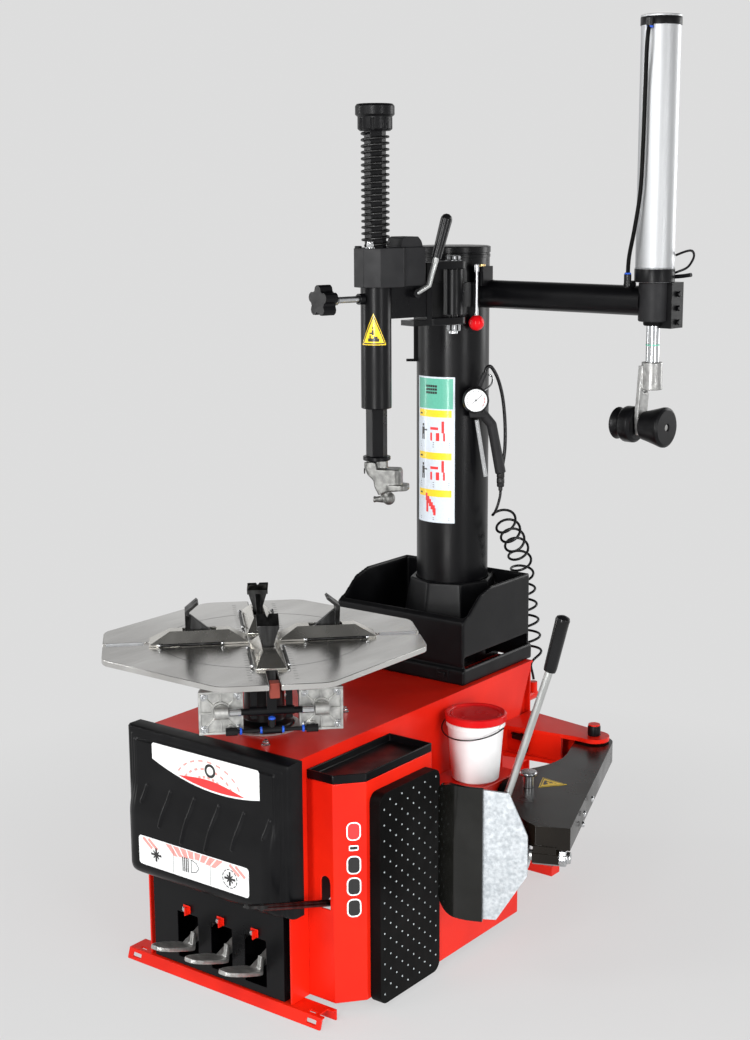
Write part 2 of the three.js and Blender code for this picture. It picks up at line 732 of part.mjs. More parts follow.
// Cast head that lifts and seats the tire bead: two hinge ears round a steel lug, a deep cheek
// with a duck bill at its far edge, and below them a ball nose with a short foot.
function mountHead() {
  const top = POST.base - GAP;
  const halfWide = 24;
  const cheek = prismY(outline([
    [-27, top - 3], [-27, top - 14], [-16, top - 32], [-4, top - 43], [-1, top - 59],
    [8, top - 76], [26, top - 69], [52, top - 67], [58, top - 56], [57, top - 22],
    [52, top - 18], [2, top - 18], [2, top - 3],
  ]), -halfWide, halfWide);
  const plan = prismZ(roundedOutline(-27, 58, -halfWide, halfWide, 15), top - 80, top, 4);
  const cheeks = toSolid(cheek).intersect(toSolid(plan));
  const bill = prismZ(roundedOutline(18, 73, -26, 22, 16), top - 66, top - 53, 4);
  const lug = box(2, 24, -11, 11, top - 30, top);
  const nose = ball(15, 27, 0, top - 87, 16);
  const neck = bar([14, 0, top - 62], [25, 0, top - 84], 13, 16, 12);
  const foot = bar([24, 0, top - 88], [-4, 0, top - 90], 10, 14, 6);
  const toe = bar([-4, 0, top - 90], [-8, 0, top - 90], 7.5, 14);
  const ear = rodY(13, -halfWide, halfWide, -9, top - 14, 20);
  const whole = cheeks.add(join(bill, lug, nose, neck, foot, toe, ear));
  const fork = box(-40, 2, -11 - GAP, 11 + GAP, top - 28, top + 1);
  const stem = rodZ(14, top - 24, top, 0, 0, 16);
  const mesh = casting('mount_head', cut(whole, fork).add(toSolid(stem)));
  mesh.position.x = POST.x;
  mesh.rotation.z = 132 * DEG;
  return mesh;
}

// Lobed knob on a threaded stem that sets the post's stop.
function stopKnob() {
  const start = POST.x + SLEEVE.r - 8;
  const z = 1453;
  const knobStart = POST.x + 124;
  const lobes = [0, 1, 2, 3, 4].map((k) => {
    const turn = k * Math.PI * 0.4 + 0.3;
    return rodX(12, knobStart, knobStart + 32, 23 * Math.cos(turn), z + 23 * Math.sin(turn), 10);
  });
  return piece('stop_knob', join(
    rodX(6.4, start, knobStart + 10, 0, z, 12),
    rodX(11, knobStart - 18, knobStart + 1, 0, z, 12),
    rodX(25, knobStart, knobStart + 32, 0, z, 20),
    ...lobes,
  ), PLASTIC_BLACK, 0.5, 0.1);
}

// Cranked lever with a long grip on the side of the arm.
function armLockLever() {
  const y = 32;
  const pivot = [133, y, 1462];
  const knee = [103, y + 8, 1478];
  const wrist = [82, y + 9, 1538];
  const tip = [56, y + 12, 1622];
  return piece('arm_lock_lever', join(
    rodY(10, 22 + GAP, y + 8, pivot[0], pivot[2], 16),
    bar(pivot, knee, 6, 10),
    ball(6.2, ...knee, 10),
    bar(knee, wrist, 6, 10),
    bar(wrist, tip, 11, 12, 13.5),
    ball(13.4, ...tip, 12),
  ), 0x2a2a2c, 0.4, 0.4);
}

function swingArmGroup() {
  const group = turnedGroup(HINGE.x, HINGE.y, HINGE.turn);
  group.add(
    swingArm(), postSleeve(), lockCover(), postBar(), postCap(), postSpring(), mountHead(),
    stopKnob(), armLockLever(),
  );
  return group;
}

// ---------------------------------------------------------------- helper press arm

// Tube arm on a collar that turns round the column. The group's x axis runs along the tube.
function helperArm() {
  const { z, tube, span, collar, base, top } = HELPER;
  const guide = rodZ(33, z - 42, z + 41, span, 0, 24);
  const block = box(span - 10, span + 46, -2, 44, z - 57, z + 41);
  const valve = box(VALVE.x - 12, VALVE.x + 14, VALVE.y + 6 + GAP, 0, top - 8, VALVE.z + 6);
  return blackPaint('helper_arm', cut(
    join(
      rodZ(collar, base, top, 0, 0, 32),
      rodX(tube, collar - 12, span - 20, 0, z, 20),
      guide,
      block,
      valve,
    ),
    rodZ(COLUMN.r + RUNNING_GAP, base - 20, VALVE.z + 20, 0, 0, 32),
    rodZ(PRESS.rod + GAP, z - 70, z + 50, span, 0, 16),
  ));
}

// Upright cylinder of the press, a drawn aluminium tube between a collar and a cap.
function helperCylinder() {
  const { cylinder, base, top } = PRESS;
  const body = cut(
    join(
      rodZ(cylinder, base, top, 0, 0, 28),
      rodZ(cylinder + 1, top - 2, top + 16, 0, 0, 28),
      rodZ(cylinder + 1, 1489 + GAP, base + 1, 0, 0, 28),
    ),
    rodZ(PRESS.rod + GAP, 1480, top - 20, 0, 0, 16),
  );
  const mesh = piece('helper_cylinder', body, ALUMINIUM, 0.3, 0.8);
  mesh.position.x = HELPER.span;
  return mesh;
}

// Air hose from the cap fitting down the front of the cylinder to the elbow on the arm.
function helperHose() {
  const side = -PRESS.cylinder - 9;
  const route = [
    [4, side + 2, 2030],
    [4, side - 6, 1990],
    [-2, side, 1900],
    [-4, side, 1780],
    [-8, side, 1680],
    [-22, side + 2, 1600],
    [-38, side + 8, 1540],
    [-44, side + 14, 1500],
  ];
  const mesh = rubber('helper_hose', hose(route, 4.5, 8, 44));
  mesh.position.x = HELPER.span;
  return mesh;
}

function pressRod() {
  const solid = join(
    rodZ(PRESS.rod, 1258, 1985, 0, 0, 16),
    rodZ(18, 1258, 1262, 0, 0, 16),
  );
  const mesh = steel('press_rod', solid);
  mesh.position.x = HELPER.span;
  return mesh;
}

// Forged bracket from the rod's boss down to the roller axle, which runs along the arm.
function pressBracket() {
  const drop = -16;
  const boss = rodZ(23, 1257, 1317, 0, 0, 20);
  const socket = rodZ(18 + GAP, 1250, 1262 + GAP, 0, 0, 16);
  const bore = rodZ(PRESS.rod + GAP, 1250, 1330, 0, 0, 16);
  const blade = prismX(outline([
    [-22, 1310], [10, 1300], [12, 1262], [2, 1200], [0, 1158], [-30, 1158], [-34, 1200],
  ]), drop - 5, drop + 5);
  const axle = rodX(8, drop - 58, drop + 66, -15, ROLLER.z, 12);
  const web = box(drop - 4, 4, -22, 8, 1262, 1300);
  const mesh = piece('press_bracket', cut(join(boss, blade, web, axle), bore, socket), CAST, 0.4, 0.8);
  mesh.position.x = HELPER.span;
  return mesh;
}

function pressWheel(name, profile) {
  const wheel = turned([[0, profile[0][1]], ...profile, [0, profile.at(-1)[1]]], 28)
    .rotateY(Math.PI / 2);
  const bore = rodX(8 + GAP, -200, 200, 0, 0, 12);
  const mesh = blackPlastic(name, cut(wheel, bore));
  mesh.position.set(HELPER.span - 16, -15, ROLLER.z);
  return mesh;
}

const pressRoller = () => pressWheel('press_roller', [
  [33, -62], [36, -58], [30, -46], [30, -44], [38, -38], [40, -34], [40, -14], [34, -7],
]);

const pressCone = () => pressWheel('press_cone', [
  [26, 7], [32, 12], [34, 22], [40, 44], [44, 58], [44, 64], [38, 68],
]);

// Hanging rod with a ball, on the air valve beside the collar.
function valveLever() {
  const mesh = piece('valve_lever', join(
    rodZ(3.5, -118, 6, 0, 0, 10),
    rodZ(6, -2, 8, 0, 0, 10),
    ball(18.5, 0, 0, -124, 16),
  ), 0xd01a1c, 0.25, 0.1);
  mesh.position.set(VALVE.x, VALVE.y, VALVE.z);
  return mesh;
}

function helperGroup() {
  const group = turnedGroup(COLUMN.x, COLUMN.y, HELPER.turn);
  group.add(
    helperArm(), helperCylinder(), helperHose(), pressRod(), pressBracket(), pressRoller(),
    pressCone(), valveLever(),
  );
  return group;
}

// ---------------------------------------------------------------- bead breaker

// Bracket behind the cabinet with two eye plates around the arm's pin.
function pivotBracket() {
  const left = CABINET.half + GAP;
  const eye = (z0, z1) => {
    const shape = new THREE.Shape();
    shape.moveTo(left, BEAD.y - 62);
    shape.lineTo(BEAD.x - 30, BEAD.y - 34);
    shape.absarc(BEAD.x, BEAD.y, 36, -Math.PI * 0.6, Math.PI / 2);
    shape.lineTo(left, BEAD.y + 72);
    return prismZ(shape, z0, z1, 10);
  };
  const web = box(left, BEAD.x - 66, BEAD.y - 40, BEAD.y - 32, BEAD.base - 12, BEAD.top + 10);
  const rear = box(left, BEAD.x - 50, BEAD.y + 20, BEAD.y + 28, BEAD.base - 12, BEAD.top + 10);
  const flange = box(left, left + 8, BEAD.y - 62, BEAD.y + 72, BEAD.base - 60, BEAD.top + 14);
  const pin = rodZ(11, BEAD.base - 26, BEAD.top + 40, BEAD.x, BEAD.y, 16);
  const cap = rodZ(14, BEAD.top + 20, BEAD.top + 42, BEAD.x, BEAD.y, 16);
  return redPaint('pivot_bracket', join(
    eye(BEAD.top + 4, BEAD.top + 14), eye(BEAD.base - 16, BEAD.base - 6), web, rear, flange,
    pin, cap,
  ));
}

// Swinging arm, an upturned channel whose x axis runs from the pin to the blade sleeve.
function beadArm() {
  const { top, base } = BEAD;
  const { along, z, hex } = BLADE_AXIS;
  const plan = new THREE.Shape();
  plan.moveTo(0, 45);
  plan.absarc(0, 0, 44, Math.PI / 2, Math.PI * 1.4);
  plan.lineTo(110, -50);
  plan.quadraticCurveTo(180, -58, 236, -134);
  plan.lineTo(400, -138);
  plan.quadraticCurveTo(510, -112, along + 12, -52);
  plan.lineTo(along + 12, 20);
  const inside = outline([
    [60, 36], [60, -40], [140, -44], [250, -124], [396, -126], [along - 20, -56], [along - 20, 14],
  ]);
  const sleeve = rodY(hex, -58, -4, along, z, 6);
  const saddle = box(along - 16, along + 16, -56, -8, z + 6, base + 6);
  const pin = join(
    rodZ(11, BEAD_CYLINDER.z + 24, top + 32, BEAD_PIN.along, BEAD_PIN.across, 16),
    rodZ(18, top + 28, top + 35, BEAD_PIN.along, BEAD_PIN.across, 20),
  );
  return blackPaint('bead_arm', cut(
    join(prismZ(plan, base, top, 8), sleeve, saddle),
    prismZ(inside, base - 1, top - 6),
    rodZ(11 + GAP, base - 1, top + 1, 0, 0, 16),
    rodY(11 + GAP, -70, 10, along, z, 16),
  ).add(pin));
}

// Round shaft through the sleeve, with the nut that holds the blade.
function bladeShaft() {
  const { along, z } = BLADE_AXIS;
  return piece('blade_shaft', join(
    rodY(11, -66, 12, along, z, 16),
    rodY(17, -3.4, 12, along, z, 6),
    rodY(12, 11, 20, along, z, 12),
  ), ZINC, 0.35, 0.85);
}

// Cut zinc plate of the shovel, standing across the end of the arm.
function beadBlade() {
  const { face, thick, inner, outer, base, top } = BLADE;
  const { along, z } = BLADE_AXIS;
  const plate = prismX(outline([
    [inner, z - 39], [inner, z + 47], [inner - 40, top - 4], [outer, top], [outer, base],
    [outer + 46, base + 2],
  ]), face, face + thick);
  const lug = box(along - 20, face + 1, inner - 12, inner, z - 26, BEAD.base - 4);
  return piece('bead_blade', cut(
    join(plate, lug),
    rodY(11 + GAP, inner - 20, inner + 5, along, z, 16),
  ), ZINC, 0.45, 0.85);
}

// Curved plastic guard over the working edge of the shovel.
function bladeGuard() {
  const { face, thick, outer, base, top } = BLADE;
  const back = face + thick + GAP;
  const plan = new THREE.Shape();
  plan.moveTo(back + 8, outer + 18);
  plan.lineTo(back + 8, outer - 4);
  plan.quadraticCurveTo(back + 6, outer - 62, face - 38, outer - 86);
  plan.lineTo(face - 44, outer - 80);
  plan.quadraticCurveTo(face + 2, outer - 56, back, outer - 4);
  plan.lineTo(back, outer + 18);
  const sheet = toSolid(prismZ(plan, base - 2, top + 4, 8));
  const trim = prismX(
    roundedOutline(outer - 140, outer + 60, base - 2, top + 4, 52), face - 80, face + 60, 6,
  );
  const skew = new THREE.Matrix4().makeTranslation(0, 46, 0);
  return blackPlastic('blade_guard', sheet.intersect(toSolid(trim.applyMatrix4(skew))));
}

// Long handle clamped to the back of the shovel.
function bladeLever() {
  const { face } = BLADE;
  const foot = [face - 12, -120, 440];
  const wrist = [face + 1, -25, 749];
  const tip = [face + 11, -2, 847];
  return piece('blade_lever', join(
    box(face - 18, face - GAP, -134, -106, 424, 462),
    bar(foot, wrist, 8, 12),
    bar(wrist, tip, 12, 12, 14),
    ball(13.9, ...tip, 12),
  ), ZINC, 0.35, 0.8);
}

function beadGroup() {
  const group = turnedGroup(BEAD.x, BEAD.y, BEAD.turn);
  group.add(beadArm(), bladeShaft(), beadBlade(), bladeGuard(), bladeLever());
  return group;
}

// Rod of the bead cylinder. Its eye lies just under the arm's headed pin.
function beadRod() {
  const spot = new THREE.Vector3(BEAD_PIN.along, BEAD_PIN.across, 0);
  spot.applyAxisAngle(new THREE.Vector3(0, 0, 1), BEAD.turn * DEG);
  const x = BEAD.x + spot.x;
  const { y, z } = BEAD_CYLINDER;
  return steel('bead_rod', join(rodX(12.5, 130, x, y, z, 16), rodZ(20, z - 18, z + 18, x, y, 20)));
}

// ---------------------------------------------------------------- pedals

// Cast pedal: a tongue that rises towards its round end, on an arm that reaches in to its shaft.
function pedal(name, x) {
  const { root, z, reach, half, shaftY, shaftZ } = PEDAL;
  const plan = new THREE.Shape();
  plan.moveTo(half - 4, 3);
  plan.lineTo(-half + 4, 3);
  plan.lineTo(-half, -20);
  plan.quadraticCurveTo(-half, -reach + 4, -8, -reach);
  plan.lineTo(8, -reach);
  plan.quadraticCurveTo(half, -reach + 4, half, -20);
  const tread = prismZ(plan, -4.5, 4.5, 4).rotateX(-19 * DEG).translate(0, root, z);
  const arm = prismX(outline([
    [root - 4, z - 6], [root - 4, z + 7], [shaftY, shaftZ + 10], [shaftY, shaftZ - 10],
  ]), -10, 10);
  const ear = prismX(outline([
    [root - 2, z - 2], [root + 12, z - 2], [root + 14, z + 30], [root + 6, z + 34],
  ]), 6, 16);
  const eye = rodX(16, -12, 12, shaftY, shaftZ, 16);
  const bore = rodX(8, -20, 20, shaftY, shaftZ, 12);
  const mesh = casting(name, cut(join(tread, arm, ear, eye), bore));
  mesh.position.x = x;
  return mesh;
}

// ---------------------------------------------------------------- inflator and its hose

// Hand inflator hung beside the column: round gauge, valve body, grip and swivel.
function inflatorGun() {
  const body = join(
    rodY(30, -20, 6, 0, 0, 28),
    box(-13, 20, 0, 26, -44, 12),
    bar([14, 14, -30], [40, 16, -62], 12, 12),
    ball(12, 40, 16, -62, 12),
    bar([40, 16, -62], [62, 16, -178], 12, 12, 13),
    rodZ(9, GUN.swivel, -174, 62, 16, 12),
    bar([0, 12, 6], [24, 14, 62], 7, 10, 6),
  );
  const mesh = piece('inflator_gun', body, 0x202123, 0.45, 0.3);
  mesh.position.set(GUN.x, GUN.y, GUN.z);
  mesh.rotation.z = GUN.turn * DEG;
  return mesh;
}

// Squeeze lever along the grip.
function inflatorTrigger() {
  const hook = [4, 13, -52];
  const lever = join(bar(hook, [26, 15, -186], 5, 10), ball(5.4, ...hook, 10));
  const mesh = piece('inflator_trigger', lever, 0xc9cbcc, 0.15, 1);
  mesh.position.set(GUN.x, GUN.y, GUN.z);
  mesh.rotation.z = GUN.turn * DEG;
  return mesh;
}

// Outer shape of the curly air hose, from the inflator's swivel down behind the cabinet.
const COIL_ROUTE = [
  [162.9, 846.2, 984],
  [162.5, 853, 930],
  [156, 905, 868],
  [146, 955, 815],
  [142, 984, 750],
  [148, 990, 680],
  [158, 990, 610],
  [168, 988, 540],
  [178, 984, 484],
];

function coilHose() {
  return rubber('coil_hose', hose(COIL_ROUTE, 30, 10, 20));
}

// ---------------------------------------------------------------- loose things

// Bead lever with a flat spoon end, parked on a slant in the slot of the side box.
function tireLever() {
  const { x } = PRY_SLOT;
  const rise = 0.32;
  const at = (y) => [x, y, 243 - (y - SIDE_BOX.front) * rise];
  const tip = SIDE_BOX.front - 246;
  const spoon = prismX(outline([
    at(tip).slice(1), at(tip + 4).slice(1), at(tip + 60).slice(1),
    [tip + 62, at(tip + 62)[2] + 6], [tip + 4, at(tip)[2] + 5],
  ]), x - 7.4, x + 7.4);
  return piece('tire_lever', join(
    bar(at(tip + 46), at(SIDE_BOX.front + 160), 7.4, 12),
    spoon,
  ), 0x8f9092, 0.4, 0.9);
}

function bucket() {
  const { foot, mouth, height } = BUCKET;
  const pail = turned([
    [0, 0], [foot - 3, 0], [foot, 3], [mouth, height - 22], [mouth + 2.5, height - 21],
    [mouth + 3, height - 12], [mouth + 0.6, height - 11], [mouth + 1, height],
    [mouth - 2, height], [foot - 3, 3], [0, 3],
  ], 28);
  const mesh = piece('bucket', pail, 0xf1f1ef, 0.45, 0);
  mesh.position.set(BUCKET.x, BUCKET.y, BUCKET.base);
  return mesh;
}

function bucketLid() {
  const { mouth, height } = BUCKET;
  const rim = height + GAP;
  const lid = turned([
    [0, rim], [mouth + 1, rim], [mouth + 1 + GAP, height - 10], [mouth + 5.5, height - 10],
    [mouth + 6, rim + 5], [mouth + 2, rim + 7], [mouth - 3, rim + 6], [mouth - 5, rim + 3.5],
    [0, rim + 3.5],
  ], 28);
  const mesh = piece('bucket_lid', lid, 0xd21218, 0.3, 0);
  mesh.position.set(BUCKET.x, BUCKET.y, BUCKET.base);
  return mesh;
}

// Wire bail that hangs down against the front of the pail.
function bucketBail() {
  const { mouth, height } = BUCKET;
  const reach = mouth + 11;
  const bulge = mouth + 16;
  const steps = 12;
  const points = [...Array(steps + 1).keys()].map((i) => {
    const turn = Math.PI * (1 + i / steps);
    const drop = 20 * Math.sin(Math.PI * i / steps);
    return [reach * Math.cos(turn), bulge * Math.sin(turn), height - 17 - drop];
  });
  const mesh = piece('bucket_bail', hose(points, 1.6, 6, 40), 0x1c1c1c, 0.4, 0.6);
  mesh.position.set(BUCKET.x, BUCKET.y, BUCKET.base);
  return mesh;
}

// ---------------------------------------------------------------- the machine

const machine = new THREE.Group();
machine.add(
  cabinet(), sideBox(), frontRail(), frontCover(), kickPlate(), sideTray(), tirePad(),
  columnTray(), column(), columnCap(), gearbox(), motor(), pivotBracket(), beadCylinder(),
  turntable(), swingArmGroup(), helperGroup(), beadGroup(), beadRod(),
  inflatorGun(), inflatorTrigger(), coilHose(), tireLever(), bucket(), bucketLid(), bucketBail(),
);
['left', 'middle', 'right'].forEach((place, i) => {
  machine.add(pedal(`pedal_${place}`, PEDAL.xs[i]));
});
machine.position.set(-FOOTPRINT_MIDDLE.x, -FOOTPRINT_MIDDLE.y, 0);

export default machine;
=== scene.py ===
"""Looks of a swing-arm tire changer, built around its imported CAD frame.

Pieces are drawn in millimetres in a local frame of the body that they ride on, and each frame's
matrix brings them to the row frame in metres. Heights are always measured from the floor.
"""

import json
import math

import bpy
from mathutils import Matrix, Vector


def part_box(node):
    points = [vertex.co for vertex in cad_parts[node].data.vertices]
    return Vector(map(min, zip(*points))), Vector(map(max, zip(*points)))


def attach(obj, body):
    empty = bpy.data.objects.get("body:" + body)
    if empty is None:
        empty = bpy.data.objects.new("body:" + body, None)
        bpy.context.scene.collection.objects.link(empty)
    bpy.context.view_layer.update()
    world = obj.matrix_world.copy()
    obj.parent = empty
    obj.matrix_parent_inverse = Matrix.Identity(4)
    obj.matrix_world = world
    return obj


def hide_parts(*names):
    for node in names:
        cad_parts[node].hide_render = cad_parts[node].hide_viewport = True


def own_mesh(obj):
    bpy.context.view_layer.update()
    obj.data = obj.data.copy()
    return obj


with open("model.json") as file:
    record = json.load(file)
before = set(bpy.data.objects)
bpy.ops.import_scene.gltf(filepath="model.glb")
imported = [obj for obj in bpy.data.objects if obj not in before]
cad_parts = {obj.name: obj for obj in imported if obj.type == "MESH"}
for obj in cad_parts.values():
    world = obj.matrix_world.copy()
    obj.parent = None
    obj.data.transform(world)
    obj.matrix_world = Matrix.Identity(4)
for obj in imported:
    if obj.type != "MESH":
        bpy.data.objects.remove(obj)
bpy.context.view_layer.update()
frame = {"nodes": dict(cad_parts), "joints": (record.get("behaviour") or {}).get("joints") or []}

MM = 0.001
JOINTS = {joint["name"]: joint for joint in frame["joints"]}
NODES = frame["nodes"]

# ------------------------------------------------------------------------------ driving sizes, mm

TABLE_BACK = 164            # turntable axis behind the cabinet front
TABLE_TOP = 743
SLIDER_HALF = 11.15         # half width kept free for the jaws' slide blocks
SLOT_HALF = 11.9
DECK = 550
COLUMN_R = 87
POST_X = 219                # tool post's axis from the swing arm's hinge
HELPER_SPAN = 562.4         # press axis from the column's axis
CLAMP_FACE = 210            # front faces of the clamping cylinders' end covers
CLAMP_OFFSET = 102
CLAMP_Z = 650
COVER = {"left": -212, "right": 241.5, "base": 236, "top": 566}
SKIN = 0.35                 # thickness of stickers and printed marks
HOSE_R = 3.2
COIL_R = 26.8
BLADE_FACE = 562
SLEEVE_Z = 342


# ------------------------------------------------------------------------------ local frames

def upright(origin, x_axis):
    """Local millimetre frame that stands upright at origin, with its x axis turned along x_axis."""
    x = Vector((x_axis[0], x_axis[1], 0)).normalized()
    return Matrix((
        (x.x * MM, -x.y * MM, 0, origin[0]),
        (x.y * MM, x.x * MM, 0, origin[1]),
        (0, 0, MM, 0),
        (0, 0, 0, 1),
    ))


def centre(node):
    low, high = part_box(node)
    return (low + high) / 2


table_at = Vector(JOINTS["turntable_spin"]["pos_m"])
MACHINE = upright((table_at.x, table_at.y - TABLE_BACK * MM), (1, 0))
TABLE = upright(table_at, JOINTS["front_jaw_slide"]["axis"])
hinge_at = Vector(JOINTS["swing_arm_hinge"]["pos_m"])
ARM = upright(hinge_at, centre("post_cap") - hinge_at)
column_at = Vector(JOINTS["helper_swing"]["pos_m"])
HELPER = upright(column_at, centre("helper_cylinder") - column_at)
COLUMN = upright(column_at, (1, 0))
blade_y = Vector(JOINTS["blade_tilt"]["axis"])
BEAD = upright(JOINTS["bead_arm_hinge"]["pos_m"], (blade_y.y, -blade_y.x))
gun_y = Vector(JOINTS["inflator_trigger_squeeze"]["axis"])
gun_x = Vector((gun_y.y, -gun_y.x, 0))
gun_at = Vector(JOINTS["inflator_trigger_squeeze"]["pos_m"]) - (gun_x * 4 + gun_y * 13) * MM
GUN = upright(gun_at, gun_x)
BUCKET = upright(JOINTS["bucket_bail_swing"]["pos_m"], (1, 0))
ON_CABINET = (MACHINE, "chassis")
ON_COLUMN = (COLUMN, "chassis")
ON_GUN = (GUN, "chassis")
ON_TABLE = (TABLE, "turntable")
ON_CLAMPS = (TABLE, "front_jaw")
ON_ARM = (ARM, "swing_arm")
ON_HELPER = (HELPER, "helper")
ON_BEAD_ARM = (BEAD, "bead_arm")
ON_BLADE = (BEAD, "blade")
ON_BUCKET = (BUCKET, "bucket")
TO_X = Matrix.Rotation(math.pi / 2, 4, "Y")
TO_Y = Matrix.Rotation(-math.pi / 2, 4, "X")


# ------------------------------------------------------------------------------ camera and stage

CAMERA_AT = Vector((2242, -2395.3, 1675.6))
CAMERA_AZIMUTH = math.radians(37.14)
CAMERA_ELEVATION = math.radians(11.23)
CAMERA_ROLL = math.radians(-0.34)
LENS = 56.6
BACKDROP = 0.725            # even light of the backdrop and the far floor
CEILING = 0.06


def add_camera():
    data = bpy.data.cameras.new("camera")
    data.lens = LENS
    data.sensor_width = 36
    camera = bpy.data.objects.new("camera", data)
    bpy.context.scene.collection.objects.link(camera)
    level = math.cos(CAMERA_ELEVATION)
    back = Vector((
        math.sin(CAMERA_AZIMUTH) * level,
        -math.cos(CAMERA_AZIMUTH) * level,
        math.sin(CAMERA_ELEVATION),
    ))
    right = Vector((math.cos(CAMERA_AZIMUTH), math.sin(CAMERA_AZIMUTH), 0))
    up = right.cross(-back)
    side = right * math.cos(CAMERA_ROLL) + up * math.sin(CAMERA_ROLL)
    top = up * math.cos(CAMERA_ROLL) - right * math.sin(CAMERA_ROLL)
    turn = Matrix((side, top, back)).transposed().to_4x4()
    camera.matrix_world = Matrix.Translation(MACHINE @ CAMERA_AT) @ turn
    bpy.context.scene.camera = camera


def add_light(name, place, target, size, power, mirrored=True):
    data = bpy.data.lights.new(name, "AREA")
    data.shape = "RECTANGLE"
    data.size, data.size_y = size
    data.energy = power
    light = bpy.data.objects.new(name, data)
    bpy.context.scene.collection.objects.link(light)
    light.location = place
    light.visible_glossy = mirrored
    aim = Vector(target) - Vector(place)
    light.rotation_mode = "QUATERNION"
    light.rotation_quaternion = aim.to_track_quat("-Z", "Y")


def studio_floor():
    """Matt floor that turns, away from the machine, into the same even light as the backdrop."""
    pale = Surface("pale_floor", (0.74, 0.74, 0.74), 0.95)
    pale.shader.inputs["Specular IOR Level"].default_value = 0
    pale.tint(pale.noise(2.5, 2), (0.73, 0.73, 0.73), (0.75, 0.75, 0.75))
    tree = pale.tree
    glow = tree.nodes.new("ShaderNodeEmission")
    glow.inputs["Color"].default_value = (BACKDROP, BACKDROP, BACKDROP, 1)
    reach = tree.nodes.new("ShaderNodeVectorMath")
    reach.operation = "LENGTH"
    tree.links.new(pale.coordinates, reach.inputs[0])
    share = tree.nodes.new("ShaderNodeMapRange")
    share.inputs["From Min"].default_value = 0.5
    share.inputs["From Max"].default_value = 1.9
    share.inputs["To Min"].default_value = 0.72
    tree.links.new(reach.outputs["Value"], share.inputs["Value"])
    mix = tree.nodes.new("ShaderNodeMixShader")
    tree.links.new(share.outputs["Result"], mix.inputs["Fac"])
    tree.links.new(pale.shader.outputs["BSDF"], mix.inputs[1])
    tree.links.new(glow.outputs["Emission"], mix.inputs[2])
    tree.links.new(mix.outputs["Shader"], tree.nodes["Material Output"].inputs["Surface"])
    return pale.material


def add_stage():
    world = bpy.data.worlds.new("studio")
    world.use_nodes = True
    tree = world.node_tree
    background = tree.nodes["Background"]
    place = tree.nodes.new("ShaderNodeTexCoord")
    height = tree.nodes.new("ShaderNodeSeparateXYZ")
    fade = tree.nodes.new("ShaderNodeValToRGB")
    fade.color_ramp.elements[0].position = 0.26
    fade.color_ramp.elements[0].color = (BACKDROP, BACKDROP, BACKDROP, 1)
    fade.color_ramp.elements[1].position = 0.6
    fade.color_ramp.elements[1].color = (CEILING, CEILING, CEILING, 1)
    tree.links.new(place.outputs["Generated"], height.inputs["Vector"])
    tree.links.new(height.outputs["Z"], fade.inputs["Fac"])
    tree.links.new(fade.outputs["Color"], background.inputs["Color"])
    bpy.context.scene.world = world
    bpy.context.scene.view_settings.view_transform = "Standard"

    half = 60
    mesh = bpy.data.meshes.new("studio_floor")
    corners = [(-half, -half, 0), (half, -half, 0), (half, half, 0), (-half, half, 0)]
    mesh.from_pydata(corners, [], [(0, 1, 2, 3)])
    floor = bpy.data.objects.new("studio_floor", mesh)
    bpy.context.scene.collection.objects.link(floor)
    floor.location.z = -0.001
    mesh.materials.append(studio_floor())

    add_light("key_box", (3.3, -1.5, 1.15), (0.1, 0.0, 0.7), (1.0, 1.9), 85, mirrored=False)
    add_light("side_strip", (3.3, -0.6, 1.4), (0, 0.2, 0.9), (0.35, 2.0), 22)
    add_light("front_strip", (1.3, -3.6, 1.6), (0, 0, 0.9), (0.45, 2.4), 95)
    add_light("front_high", (-0.9, -2.9, 2.7), (-0.1, -0.2, 0.75), (1.2, 0.8), 30)
    add_light("left_strip", (-3.0, -1.2, 1.6), (0, 0.2, 1.1), (0.3, 2.6), 26)
    add_light("back_box", (1.6, 3.4, 1.8), (0.1, 0.2, 1.0), (1.2, 2.0), 34)


# ------------------------------------------------------------------------------ materials

